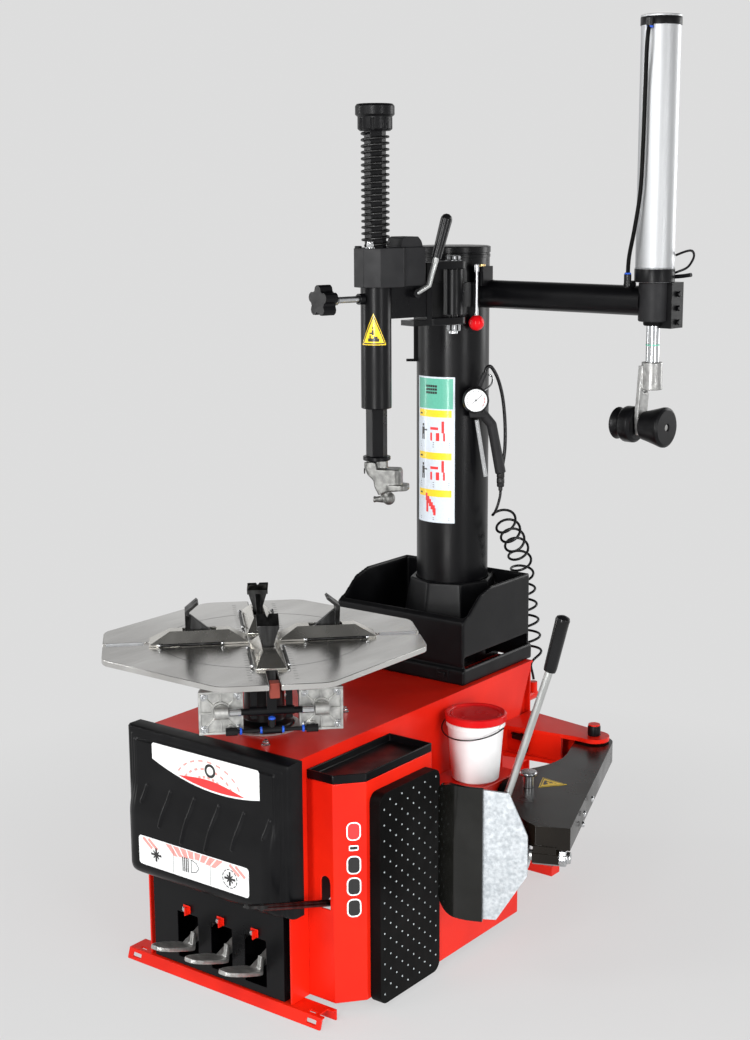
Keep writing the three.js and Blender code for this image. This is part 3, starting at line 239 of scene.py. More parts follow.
class Surface:
    """A Principled material with its detail added a node at a time, in object coordinates."""

    def __init__(self, name, color, roughness, metallic=0.0, coat=0.0, coat_roughness=0.1):
        self.material = bpy.data.materials.new(name)
        self.material.use_nodes = True
        self.tree = self.material.node_tree
        self.shader = self.tree.nodes["Principled BSDF"]
        self.shader.inputs["Base Color"].default_value = (*color, 1)
        self.shader.inputs["Roughness"].default_value = roughness
        self.shader.inputs["Metallic"].default_value = metallic
        self.shader.inputs["Coat Weight"].default_value = coat
        self.shader.inputs["Coat Roughness"].default_value = coat_roughness
        self.coordinates = self.tree.nodes.new("ShaderNodeTexCoord").outputs["Object"]
        self.last_bump = None

    def link(self, output, socket):
        self.tree.links.new(output, socket)

    def stretched(self, stretch):
        mapping = self.tree.nodes.new("ShaderNodeMapping")
        mapping.inputs["Scale"].default_value = stretch
        self.link(self.coordinates, mapping.inputs["Vector"])
        return mapping.outputs["Vector"]

    def noise(self, scale, detail=3, stretch=None):
        node = self.tree.nodes.new("ShaderNodeTexNoise")
        node.inputs["Scale"].default_value = scale
        node.inputs["Detail"].default_value = detail
        source = self.stretched(stretch) if stretch else self.coordinates
        self.link(source, node.inputs["Vector"])
        return node.outputs["Fac"]

    def cells(self, scale):
        node = self.tree.nodes.new("ShaderNodeTexVoronoi")
        node.inputs["Scale"].default_value = scale
        self.link(self.coordinates, node.inputs["Vector"])
        return node.outputs["Color"]

    def ramped(self, fac, low, high):
        node = self.tree.nodes.new("ShaderNodeMapRange")
        node.inputs["From Min"].default_value = 0.3
        node.inputs["From Max"].default_value = 0.7
        node.inputs["To Min"].default_value = low
        node.inputs["To Max"].default_value = high
        self.link(fac, node.inputs["Value"])
        return node.outputs["Result"]

    def tint(self, fac, dark, light):
        ramp = self.tree.nodes.new("ShaderNodeValToRGB")
        ramp.color_ramp.elements[0].position = 0.35
        ramp.color_ramp.elements[0].color = (*dark, 1)
        ramp.color_ramp.elements[1].position = 0.65
        ramp.color_ramp.elements[1].color = (*light, 1)
        self.link(fac, ramp.inputs["Fac"])
        self.link(ramp.outputs["Color"], self.shader.inputs["Base Color"])

    def rough(self, fac, low, high):
        self.link(self.ramped(fac, low, high), self.shader.inputs["Roughness"])

    def bump(self, fac, strength, distance_mm):
        node = self.tree.nodes.new("ShaderNodeBump")
        node.inputs["Strength"].default_value = strength
        node.inputs["Distance"].default_value = distance_mm * MM
        self.link(fac, node.inputs["Height"])
        if self.last_bump:
            self.link(self.last_bump, node.inputs["Normal"])
        self.link(node.outputs["Normal"], self.shader.inputs["Normal"])
        self.last_bump = node.outputs["Normal"]


def powder_coat(name, dark, light, roughness, gloss=0.25):
    """Sprayed coat: orange peel, faint clouding and a few duller, handled patches."""
    s = Surface(name, light, roughness)
    s.shader.inputs["Specular IOR Level"].default_value = gloss
    s.tint(s.noise(5, 4), dark, light)
    s.rough(s.noise(9, 5), roughness - 0.05, roughness + 0.08)
    s.bump(s.noise(420, 2), 0.12, 0.25)
    return s.material


def moulded(name, dark, light, roughness, grain_mm=0.9, depth=0.25, gloss=0.22):
    """Moulded plastic with a fine spark-eroded grain."""
    s = Surface(name, light, roughness)
    s.shader.inputs["Specular IOR Level"].default_value = gloss
    s.tint(s.noise(14, 4), dark, light)
    s.rough(s.noise(30, 4), roughness - 0.06, roughness + 0.07)
    s.bump(s.noise(1 / (grain_mm * MM), 3), depth, 0.12)
    return s.material


def drawn_metal(name, dark, light, roughness, stretch, depth=0.1):
    """Metal with fine parallel tool lines, which run along the axis that stretch keeps short."""
    s = Surface(name, light, roughness, metallic=1.0)
    s.tint(s.noise(60, 4, stretch), dark, light)
    s.rough(s.noise(90, 5, stretch), roughness - 0.06, roughness + 0.12)
    s.bump(s.noise(900, 2, stretch), depth, 0.05)
    return s.material


def as_cast(name, dark, light, roughness, grain_mm=1.6):
    s = Surface(name, light, roughness, metallic=0.85)
    s.tint(s.noise(70, 6), dark, light)
    s.rough(s.noise(45, 5), roughness - 0.08, roughness + 0.12)
    s.bump(s.noise(1 / (grain_mm * MM), 4), 0.35, 0.3)
    s.bump(s.noise(90, 3), 0.2, 0.5)
    return s.material


def zinc_spangle(name):
    s = Surface(name, (0.62, 0.66, 0.69), 0.42, metallic=0.75)
    s.tint(s.noise(120, 6), (0.50, 0.54, 0.57), (0.74, 0.78, 0.81))
    s.rough(s.cells(160), 0.34, 0.5)
    s.bump(s.noise(500, 3), 0.15, 0.1)
    return s.material


def brushed_table(name):
    """Ground steel plate: long straight grinding lines crossed by a broad, cloudy painted sheen: brighter and
    darker clouds in the colour stand in for its reflections.
    """
    s = Surface(name, (0.50, 0.49, 0.465), 0.3, metallic=1.0)
    # painted sheen: broad brighter and darker clouds in the base colour, in place of reflections
    s.tint(s.noise(3, 2, (2.5, 0.6, 1)), (0.52, 0.51, 0.49), (0.72, 0.71, 0.69))
    s.rough(s.noise(50, 3, (9, 0.3, 1)), 0.2, 0.26)
    s.shader.inputs["Anisotropic"].default_value = 0.5
    return s.material


def pressed_sheet(name):
    """Bright pressed steel, warm and nearly smooth, with a few faint rubbed clouds."""
    s = Surface(name, (0.74, 0.72, 0.67), 0.27, metallic=1.0)
    s.tint(s.noise(9, 2), (0.68, 0.66, 0.61), (0.80, 0.78, 0.73))
    s.rough(s.noise(14, 3), 0.24, 0.3)
    s.bump(s.noise(700, 2), 0.03, 0.03)
    return s.material


def printed(name, color, roughness=0.4):
    """Printed film: flat ink with a faint mottle under a satin laminate."""
    s = Surface(name, color, roughness, coat=0.3)
    s.tint(s.noise(260, 2), tuple(0.93 * c for c in color), color)
    s.bump(s.noise(300, 2), 0.04, 0.05)
    return s.material


def clear_glass(name):
    s = Surface(name, (0.95, 0.97, 0.97), 0.03)
    s.shader.inputs["Alpha"].default_value = 0.06
    s.rough(s.noise(60, 2), 0.02, 0.06)
    return s.material


SHORT_GRAIN = (1, 1, 0.05)      # tool lines along z
POWDER_COATS = {
    "red": ("red_powder_coat", (0.60, 0.010, 0.003), (0.72, 0.016, 0.004), 0.34),
    "black": ("black_powder_coat", (0.0015, 0.0015, 0.002), (0.003, 0.003, 0.0035), 0.3, 0.2),
    "arm": ("bead_arm_gloss_coat", (0.004, 0.003, 0.002), (0.008, 0.006, 0.004), 0.22),
    "enamel": ("motor_enamel", (0.05, 0.06, 0.07), (0.08, 0.09, 0.10), 0.4),
    "rust": ("red_oxide_slider", (0.16, 0.03, 0.02), (0.24, 0.045, 0.03), 0.45),
}
MOULDINGS = {
    "plastic": ("black_moulding", (0.002, 0.002, 0.0025), (0.004, 0.004, 0.0045), 0.34, 0.9, 0.25, 0.18),
    "hood": ("grained_hood", (0.010, 0.010, 0.011), (0.018, 0.018, 0.019), 0.5, 1.2, 0.4),
    "gloss": ("gloss_black_guard", (0.005, 0.005, 0.004), (0.009, 0.009, 0.008), 0.14, 6, 0.05, 0.4),
    "rubber": ("black_rubber", (0.0015, 0.0015, 0.0015), (0.003, 0.003, 0.003), 0.5, 2.2, 0.3, 0.08),
    "grip": ("vinyl_grip", (0.003, 0.003, 0.0035), (0.006, 0.006, 0.0065), 0.22, 5, 0.08, 0.3),
    "white": ("white_pail", (0.74, 0.74, 0.74), (0.82, 0.82, 0.82), 0.34, 3, 0.08),
    "lid": ("red_lid", (0.55, 0.006, 0.008), (0.66, 0.012, 0.012), 0.22, 5, 0.05),
    "ball": ("red_ball", (0.60, 0.004, 0.008), (0.68, 0.008, 0.012), 0.12, 8, 0.03),
    "blue": ("blue_collet", (0.01, 0.05, 0.35), (0.02, 0.09, 0.50), 0.3, 4, 0.05),
    "dot": ("pale_dot", (0.30, 0.34, 0.35), (0.42, 0.46, 0.47), 0.4, 2),
}
DRAWN_METALS = {
    "dark_steel": ("blackened_steel", (0.025, 0.025, 0.025), (0.07, 0.07, 0.07), 0.38, (1, 1, 0.1)),
    "steel": ("bright_steel", (0.45, 0.46, 0.47), (0.62, 0.63, 0.64), 0.26, SHORT_GRAIN),
    "chrome": ("hard_chrome", (0.55, 0.56, 0.57), (0.66, 0.67, 0.68), 0.12, SHORT_GRAIN, 0.03),
    "aluminium": ("drawn_aluminium", (0.50, 0.51, 0.52), (0.58, 0.59, 0.60), 0.48, (1, 1, 0.02)),
    "lever": ("zinc_rod", (0.50, 0.51, 0.50), (0.62, 0.63, 0.62), 0.36, SHORT_GRAIN),
    "brass": ("brass_fitting", (0.50, 0.36, 0.16), (0.66, 0.50, 0.24), 0.25, (1, 1, 0.1)),
}
CASTINGS = {
    "cast": ("cast_aluminium", (0.34, 0.34, 0.33), (0.52, 0.52, 0.50), 0.42),
    "cast_steel": ("cast_steel", (0.14, 0.14, 0.135), (0.24, 0.24, 0.23), 0.38, 2.4),
    "forged": ("forged_bright_steel", (0.28, 0.28, 0.275), (0.42, 0.42, 0.41), 0.36, 2.4),
    "iron": ("grey_iron", (0.16, 0.17, 0.17), (0.26, 0.27, 0.27), 0.55),
}
INKS = {
    "paper": ("label_pale", (0.62, 0.68, 0.74)),
    "mint": ("label_mint", (0.10, 0.42, 0.30)),
    "yellow": ("label_yellow", (0.90, 0.62, 0.01)),
    "ink": ("label_black", (0.012, 0.012, 0.012)),
    "red_ink": ("label_red", (0.75, 0.03, 0.03)),
    "pink_ink": ("label_pink", (0.80, 0.33, 0.30)),
    "dial": ("dial_white", (0.86, 0.87, 0.87)),
}


def make_materials():
    materials = {
        "table": brushed_table("ground_table_steel"),
        "pressed": pressed_sheet("pressed_steel"),
        "zinc": zinc_spangle("zinc_plate"),
        "glass": clear_glass("dial_glass"),
    }
    makers = (
        (powder_coat, POWDER_COATS), (moulded, MOULDINGS), (drawn_metal, DRAWN_METALS),
        (as_cast, CASTINGS), (printed, INKS),
    )
    for maker, rows in makers:
        for look, row in rows.items():
            materials[look] = maker(*row)
    return materials


# ------------------------------------------------------------------------------ shapes
# A shape is (points, faces), in the millimetres of a local frame.

def lathe(profile, sides=40):
    """A profile of (radius, height) turned about the z axis. Ends on the axis close in a point."""
    points, rings, faces = [], [], []
    for r, z in profile:
        if r < 1e-6:
            rings.append([len(points)] * sides)
            points.append(Vector((0, 0, z)))
            continue
        rings.append(list(range(len(points), len(points) + sides)))
        for k in range(sides):
            turn = 2 * math.pi * k / sides
            points.append(Vector((r * math.cos(turn), r * math.sin(turn), z)))
    for low, high in zip(rings, rings[1:]):
        for k in range(sides):
            n = (k + 1) % sides
            ring = [low[k], low[n], high[n], high[k]]
            face = [v for i, v in enumerate(ring) if v != ring[i - 1]]
            if len(face) > 2:
                faces.append(face)
    return points, faces


def disc_rod(r, z0, z1, sides=32):
    return lathe([(0, z0), (r, z0), (r, z1), (0, z1)], sides)


def between(n):
    """Faces of a closed body between two outlines of n points."""
    faces = [[k, (k + 1) % n, n + (k + 1) % n, n + k] for k in range(n)]
    return faces + [list(range(n))[::-1], list(range(n, 2 * n))]


def prism(outline, z0, z1):
    points = [Vector((a, b, z)) for z in (z0, z1) for a, b in outline]
    return points, between(len(outline))


def block(x0, x1, y0, y1, z0, z1):
    return prism([(x0, y0), (x1, y0), (x1, y1), (x0, y1)], z0, z1)


def rounded(a0, a1, b0, b1, r, steps=5):
    corners = [(a1 - r, b1 - r), (a0 + r, b1 - r), (a0 + r, b0 + r), (a1 - r, b0 + r)]
    outline = []
    for quarter, (a, b) in enumerate(corners):
        for k in range(steps + 1):
            turn = math.pi / 2 * (quarter + k / steps)
            outline.append((a + r * math.cos(turn), b + r * math.sin(turn)))
    return outline


def circle(a, b, r, steps=24):
    turns = [2 * math.pi * k / steps for k in range(steps)]
    return [(a + r * math.cos(t), b + r * math.sin(t)) for t in turns]


def swept(path, radius, sides=12, taper=None):
    """A closed round tube along the points, carried without twist."""
    path = [Vector(p) for p in path]
    points, faces = [], []
    tangent = (path[1] - path[0]).normalized()
    normal = tangent.orthogonal().normalized()
    last = len(path) - 1
    for i, p in enumerate(path):
        ahead = (path[min(i + 1, last)] - path[max(i - 1, 0)]).normalized()
        normal = (tangent.rotation_difference(ahead) @ normal).normalized()
        tangent = ahead
        across = tangent.cross(normal)
        r = radius if taper is None else radius * taper(i / last)
        for k in range(sides):
            turn = 2 * math.pi * k / sides
            points.append(p + (normal * math.cos(turn) + across * math.sin(turn)) * r)
    for i in range(last):
        for k in range(sides):
            n = (k + 1) % sides
            faces.append([i * sides + k, i * sides + n, (i + 1) * sides + n, (i + 1) * sides + k])
    faces.append(list(range(sides))[::-1])
    faces.append([last * sides + k for k in range(sides)])
    return points, faces


def smooth_path(knots, per_span=8):
    """Catmull-Rom points through the knots."""
    knots = [Vector(k) for k in knots]
    ends = [2 * knots[0] - knots[1], *knots, 2 * knots[-1] - knots[-2]]
    path = []
    for a, b, c, d in zip(ends, ends[1:], ends[2:], ends[3:]):
        for k in range(per_span):
            t = k / per_span
            path.append(0.5 * (
                2 * b + (c - a) * t + (2 * a - 5 * b + 4 * c - d) * t * t
                + (3 * b - a - 3 * c + d) * t ** 3
            ))
    return path + [knots[-1]]


def placed(shape, matrix):
    points, faces = shape
    return [matrix @ p for p in points], faces


def at(x, y, z, turn=None):
    move = Matrix.Translation((x, y, z))
    return move @ turn if turn else move


def turned(profile, x=0, y=0, z=0, turn=None, sides=24):
    """A turned part, stood at a place along its own axis."""
    return placed(lathe(profile, sides), at(x, y, z, turn))


def rod(r, z0, z1, x=0, y=0, z=0, turn=None, sides=32):
    return placed(disc_rod(r, z0, z1, sides), at(x, y, z, turn))


def ball(r, x, y, z, sides=24):
    half = sides // 2
    arc = [(r * math.sin(math.pi * k / half), -r * math.cos(math.pi * k / half)) for k in range(half + 1)]
    arc[0], arc[-1] = (0, -r), (0, r)
    return placed(lathe(arc, sides), at(x, y, z))


def hexagon(width, z0, z1, chamfer=1.0):
    """A hexagonal nut or head: a hex prism with turned, chamfered ends."""
    r = width / math.sqrt(3)
    c = chamfer
    return lathe([(0, z0), (r - c, z0), (r, z0 + c), (r, z1 - c), (r - c, z1), (0, z1)], 6)


def nut(width, z0, z1, x=0, y=0, z=0, turn=None, chamfer=1.0):
    return placed(hexagon(width, z0, z1, chamfer), at(x, y, z, turn))


def joined(shapes):
    points, faces = [], []
    for p, f in shapes:
        start = len(points)
        points += p
        faces += [[start + i for i in face] for face in f]
    return points, faces


def piece(name, shapes, rider, look, bevel_mm=0.0, crease=35):
    """A new mesh piece. Its rider is the local frame that it is drawn in and the body it moves with."""
    local, body = rider
    points, faces = joined(shapes)
    mesh = bpy.data.meshes.new(name)
    mesh.from_pydata([local @ p for p in points], [], faces)
    mesh.validate()
    mesh.polygons.foreach_set("use_smooth", [True] * len(mesh.polygons))
    mesh.set_sharp_from_angle(angle=math.radians(crease))
    mesh.materials.append(MATERIALS[look])
    thing = bpy.data.objects.new(name, mesh)
    bpy.context.scene.collection.objects.link(thing)
    if bevel_mm:
        add_bevel(thing, bevel_mm)
    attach(thing, body)
    return thing


def add_bevel(thing, width_mm):
    bevel = thing.modifiers.new("edge_rounding", "BEVEL")
    bevel.width = width_mm * MM
    bevel.segments = 2
    bevel.limit_method = "ANGLE"
    bevel.angle_limit = math.radians(40)


def on_round(r):
    """Maps (arc angle in degrees, z, lift) to the outside of an upright tube of radius r."""
    def mapper(a, b, lift):
        turn = math.radians(a)
        out = r + lift
        return Vector((out * math.cos(turn), out * math.sin(turn), b))
    return mapper


def on_front(y):
    """Maps (x, z, lift) to a face that looks along -y."""
    return lambda a, b, lift: Vector((a, y - lift, b))


def on_top(z):
    return lambda a, b, lift: Vector((a, b, z + lift))


def wrapped(lower, upper, a0, a1, mapper, low=0.0, high=SKIN, steps=12):
    """A thin closed patch that follows a curved face, between two heights given along a."""
    points, faces = [], []
    for k in range(steps + 1):
        a = a0 + (a1 - a0) * k / steps
        b0, b1 = lower(a), max(upper(a), lower(a) + 0.05)
        points += [mapper(a, b0, low), mapper(a, b1, low), mapper(a, b1, high), mapper(a, b0, high)]
    for k in range(steps):
        s, n = 4 * k, 4 * k + 4
        for i in range(4):
            j = (i + 1) % 4
            faces.append([s + i, s + j, n + j, n + i])
    last = 4 * steps
    faces += [[0, 3, 2, 1], [last, last + 1, last + 2, last + 3]]
    return points, faces


def slab(a0, a1, b0, b1, mapper, low=0.0, high=SKIN, steps=1):
    """A thin closed rectangle between two mapped layers, split along its first direction."""
    return wrapped(lambda a: b0, lambda a: b1, a0, a1, mapper, low, high, steps)


def mark(outline, mapper, low=0.0, high=SKIN):
    """A thin closed patch with any convex outline."""
    points = [mapper(a, b, h) for h in (low, high) for a, b in outline]
    return points, between(len(outline))


def stroke(a0, b0, a1, b1, width, mapper, low=0.0, high=SKIN):
    along = Vector((a1 - a0, b1 - b0)).normalized()
    side = Vector((-along.y, along.x)) * width / 2
    outline = [
        (a0 + side.x, b0 + side.y), (a0 - side.x, b0 - side.y),
        (a1 - side.x, b1 - side.y), (a1 + side.x, b1 + side.y),
    ]
    return mark(outline, mapper, low, high)


# ------------------------------------------------------------------------------ the curly hose

# Centre line of the coil, in the millimetres of the machine frame.
COIL_ROUTE = [
    (162.9, 846.2, 984), (162.5, 853, 930), (156, 905, 868), (146, 955, 815), (142, 984, 750),
    (148, 990, 680), (158, 990, 610), (168, 988, 540), (178, 984, 484),
]
COIL_TURNS = 10             # full turns between the two run-ins
COIL_LEAD = 0.14            # share of the route where the hose winds out from its axis


def coil_turn(share):
    """Turns wound so far, and the share of the full coil radius, at a place on the route."""
    rate = COIL_TURNS / (1 - 2 * COIL_LEAD)
    lead_turns = rate * COIL_LEAD / 4
    edge = min(share, 1 - share) / COIL_LEAD
    if edge >= 1:
        return lead_turns + rate * (share - COIL_LEAD), 1
    wound = lead_turns * edge ** 4
    if share > 0.5:
        wound = 2 * lead_turns + COIL_TURNS - wound
    return wound, edge * edge * (3 - 2 * edge)


def coil_hose():
    axis = smooth_path(COIL_ROUTE, 60)
    lengths = [0.0]
    for a, b in zip(axis, axis[1:]):
        lengths.append(lengths[-1] + (b - a).length)
    total = lengths[-1]
    steps = COIL_TURNS * 30
    points = []
    span = 0
    for k in range(steps + 1):
        share = k / steps
        while span < len(axis) - 2 and lengths[span + 1] < share * total:
            span += 1
        part = (share * total - lengths[span]) / (lengths[span + 1] - lengths[span])
        middle = axis[span].lerp(axis[span + 1], min(part, 1))
        along = (axis[span + 1] - axis[span]).normalized()
        side = along.cross(Vector((1, 0, 0))).normalized()
        other = along.cross(side)
        wound, grow = coil_turn(share)
        turn = 2 * math.pi * wound
        swing = (side * math.cos(turn) + other * math.sin(turn)) * COIL_R * grow
        points.append(MACHINE @ (middle + swing))

    curve = bpy.data.curves.new("curly_air_hose", "CURVE")
    curve.dimensions = "3D"
    curve.bevel_depth = HOSE_R * MM
    curve.bevel_resolution = 4
    curve.use_fill_caps = True
    spline = curve.splines.new("POLY")
    spline.points.add(len(points) - 1)
    for knot, p in zip(spline.points, points):
        knot.co = (*p, 1)
    curve.materials.append(MATERIALS["grip"])
    hose = bpy.data.objects.new("curly_air_hose", curve)
    bpy.context.scene.collection.objects.link(hose)
    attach(hose, "chassis")
    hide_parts("coil_hose")


# ------------------------------------------------------------------------------ CAD nodes

PLACES = ("front", "right", "rear", "left")
JAW_COVERS = [f"jaw_cover_{place}" for place in PLACES]
JAW_CLAWS = [f"jaw_claw_{place}" for place in PLACES]
CLAMPS = ["clamp_cylinder_left", "clamp_cylinder_right"]
PEDALS = ["pedal_left", "pedal_middle", "pedal_right"]

NODE_LOOKS = {
    "red": ["cabinet", "side_box", "front_rail", "pivot_bracket"],
    "black": [
        "kick_plate", "column", "column_cap", "bead_cylinder", "table_hub", "cylinder_tie_bar",
        "swing_arm", "post_sleeve", "post_bar", "helper_arm",
    ],
    "arm": ["bead_arm"],
    "plastic": ["side_tray", "column_tray", "post_cap", "press_roller", "press_cone", "stop_knob"],
    "hood": ["lock_cover", "inflator_gun"],
    "gloss": ["blade_guard"],
    "rubber": ["tire_pad", "helper_hose"],
    "table": ["turntable_plate"],
    "pressed": JAW_COVERS,
    "dark_steel": [*JAW_CLAWS, "bucket_bail", "tire_lever"],
    "cast": [*CLAMPS, *PEDALS],
    "aluminium": ["helper_cylinder"],
    "cast_steel": ["mount_head"],
    "forged": ["press_bracket"],
    "iron": ["gearbox"],
    "enamel": ["motor"],
    "chrome": ["press_rod", "bead_rod", "inflator_trigger"],
    "zinc": ["bead_blade"],
    "lever": ["blade_lever", "blade_shaft"],
    "grip": ["arm_lock_lever"],
    "white": ["bucket"],
    "lid": ["bucket_lid"],
    "ball": ["valve_lever"],
}

# Width of the rounded edges in millimetres, and the nodes that have it.
EDGE_ROUNDING = {
    0.6: ["press_rod"],
    0.8: ["kick_plate", "bucket_lid", "tire_lever", "blade_shaft"],
    1: [
        "table_hub", "helper_cylinder", "bead_blade", "cylinder_tie_bar", "bead_rod", "column_cap",
        "column", *JAW_CLAWS,
    ],
    1.2: ["turntable_plate", "post_bar", "post_cap", "blade_guard", "press_roller", "press_cone"],
    1.5: ["front_rail", "pivot_bracket", "stop_knob", "bead_cylinder", *CLAMPS],
    1.6: ["side_tray", "swing_arm"],
    2: ["post_sleeve", "lock_cover", "helper_arm", "motor"],
    2.2: JAW_COVERS,
    3: ["cabinet", "side_box", "bead_arm", "gearbox"],
    5: ["tire_pad"],
}

# Castings and mouldings whose joined solids are melted together, with the voxel size in millimetres.
MELTED = {"mount_head": 1.5, "press_bracket": 1.3, "inflator_gun": 1.5, "column_tray": 3}
MELTED.update(dict.fromkeys(PEDALS, 1.4))


def smooth_by_angle():
    """Node group that welds the facets' shared corners and smooths all but the sharp edges."""
    group = bpy.data.node_groups.new("weld_and_smooth", "GeometryNodeTree")
    group.interface.new_socket("Geometry", in_out="INPUT", socket_type="NodeSocketGeometry")
    group.interface.new_socket("Geometry", in_out="OUTPUT", socket_type="NodeSocketGeometry")
    add = group.nodes.new
    link = group.links.new
    start, end = add("NodeGroupInput"), add("NodeGroupOutput")
    weld = add("GeometryNodeMergeByDistance")
    weld.inputs["Distance"].default_value = 0.01 * MM
    clear = add("GeometryNodeRemoveAttribute")
    clear.inputs["Name"].default_value = "custom_normal"
    faces = add("GeometryNodeSetShadeSmooth")
    edges = add("GeometryNodeSetShadeSmooth")
    edges.domain = "EDGE"
    edges.inputs["Shade Smooth"].default_value = False
    angle = add("GeometryNodeInputMeshEdgeAngle")
    steep = add("FunctionNodeCompare")
    steep.operation = "GREATER_THAN"
    steep.inputs["B"].default_value = math.radians(32)
    link(start.outputs[0], weld.inputs["Geometry"])
    link(weld.outputs[0], clear.inputs["Geometry"])
    link(clear.outputs[0], faces.inputs["Geometry"])
    link(faces.outputs[0], edges.inputs["Geometry"])
    link(angle.outputs["Unsigned Angle"], steep.inputs["A"])
    link(steep.outputs["Result"], edges.inputs["Selection"])
    link(edges.outputs[0], end.inputs[0])
    return group


def melt(node, voxel_mm):
    remesh = node.modifiers.new("melted_casting", "REMESH")
    remesh.mode = "VOXEL"
    remesh.voxel_size = voxel_mm * MM
    remesh.use_smooth_shade = True
    ease = node.modifiers.new("eased_edges", "SMOOTH")
    ease.factor = 0.5
    ease.iterations = 6


def dress_cad_nodes():
    group = smooth_by_angle()
    for look, names in NODE_LOOKS.items():
        for name in names:
            node = NODES[name]
            node.data.materials.clear()
            node.data.materials.append(MATERIALS[look])
            welding = node.modifiers.new("weld_and_smooth", "NODES")
            welding.node_group = group
    for name, voxel_mm in MELTED.items():
        melt(NODES[name], voxel_mm)
    for width_mm, names in EDGE_ROUNDING.items():
        for name in names:
            add_bevel(NODES[name], width_mm)


# ------------------------------------------------------------------------------ front cover

COVER_PLANE = 43            # how far the flat frame stands in front of the cabinet
COVER_PANEL = 52
COVER_BELLY = 69
COVER_BACK = -0.6
RIB_TOP = 444
RIB_XS = [-146 + 68.8 * k for k in range(6)]
BELLY = {"left": -203, "right": 214, "top": 452, "full": 376, "round": 34}
UNDERSIDE = 30              # height over which the belly curls back to the lower edge
LIP = 34                    # reach of the lower edge
RIM = 10                    # rounding of the outer edge


def eased(value, low, high):
    t = min(max((value - low) / (high - low), 0), 1)
    return t * t * (3 - 2 * t)


def quarter_round(share):
    """Height of a quarter circle of radius 1 at a share of the way in from its edge."""
    return math.sqrt(max(1 - (1 - share) ** 2, 0))


def rib_line(top_x):
    """Lower end of a slanted rib. Its foot follows a shallow arc over the belly."""
    foot_z = 343 + 65 * ((top_x - 28) / 172) ** 2
    return top_x - 0.31 * (RIB_TOP - foot_z), foot_z


def rib_height(x, z):
    rise = 0
    for top_x in RIB_XS:
        foot_x, foot_z = rib_line(top_x)
        t = min(max((RIB_TOP - z) / (RIB_TOP - foot_z), 0), 1)
        across = math.hypot(x - (top_x + (foot_x - top_x) * t), z - (RIB_TOP - (RIB_TOP - foot_z) * t))
        rise = max(rise, 3.6 * (1 - eased(across, 1.2, 5.2)))
    return rise


def cover_depth(x, z):
    """Forward reach of the cover's skin at a place on its front."""
    side = min(x - COVER["left"], COVER["right"] - x)
    drop = COVER["top"] - z
    rim = min(side, drop)
    depth = COVER_PLANE + 3 * eased(rim, 15, 17) + 2.5 * eased(rim, 24, 26)
    depth += 3.5 * eased(side, 33, 36) * eased(drop, 22, 25)
    swell = eased(BELLY["top"] - z, 0, BELLY["top"] - BELLY["full"])
    edge = min(x - BELLY["left"], BELLY["right"] - x)
    corner = quarter_round(min(edge / BELLY["round"], 1)) if edge > 0 else 0
    depth += (COVER_BELLY - 4 - depth) * swell * corner
    rise = z - COVER["base"]
    if rise < UNDERSIDE:
        depth = LIP + (depth - LIP) * quarter_round(rise / UNDERSIDE)
    if rim < RIM:
        depth -= 9 * (1 - quarter_round(rim / RIM))
    return depth + rib_height(x, z)


def front_cover():
    left, right, base, top = COVER["left"], COVER["right"], COVER["base"], COVER["top"]
    columns, rows = 190, 140
    wide = columns + 1
    points, faces = [], []
    for j in range(rows + 1):
        z = base + (top - base) * j / rows
        for i in range(wide):
            x = left + (right - left) * i / columns
            points.append(Vector((x, -cover_depth(x, z), z)))
    for j in range(rows):
        for i in range(columns):
            k = j * wide + i
            faces.append([k, k + 1, k + wide + 1, k + wide])
    border = list(range(wide))
    border += [j * wide + columns for j in range(1, rows + 1)]
    border += [rows * wide + i for i in range(columns - 1, -1, -1)]
    border += [j * wide for j in range(rows - 1, 0, -1)]
    behind = {k: len(points) + n for n, k in enumerate(border)}
    points += [Vector((points[k].x, COVER_BACK, points[k].z)) for k in border]
    for a, b in zip(border, border[1:] + border[:1]):
        faces.append([a, behind[a], behind[b], b])
    faces.append([behind[k] for k in border][::-1])
    skin = piece("front_cover_moulding", [(points, faces)], ON_CABINET, "plastic", crease=50)
    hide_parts("front_cover")


def dashes(a, b, radii, turns, sweep, width, mapper, high):
    """Short strokes along an ellipse about (a, b), one for each start angle in degrees."""
    strokes = []
    for start in turns:
        ends = []
        for turn in (math.radians(start), math.radians(start + sweep)):
            ends += [a + radii[0] * math.cos(turn), b + radii[1] * math.sin(turn)]
        strokes.append(stroke(*ends, width, mapper, SKIN, high))
    return strokes


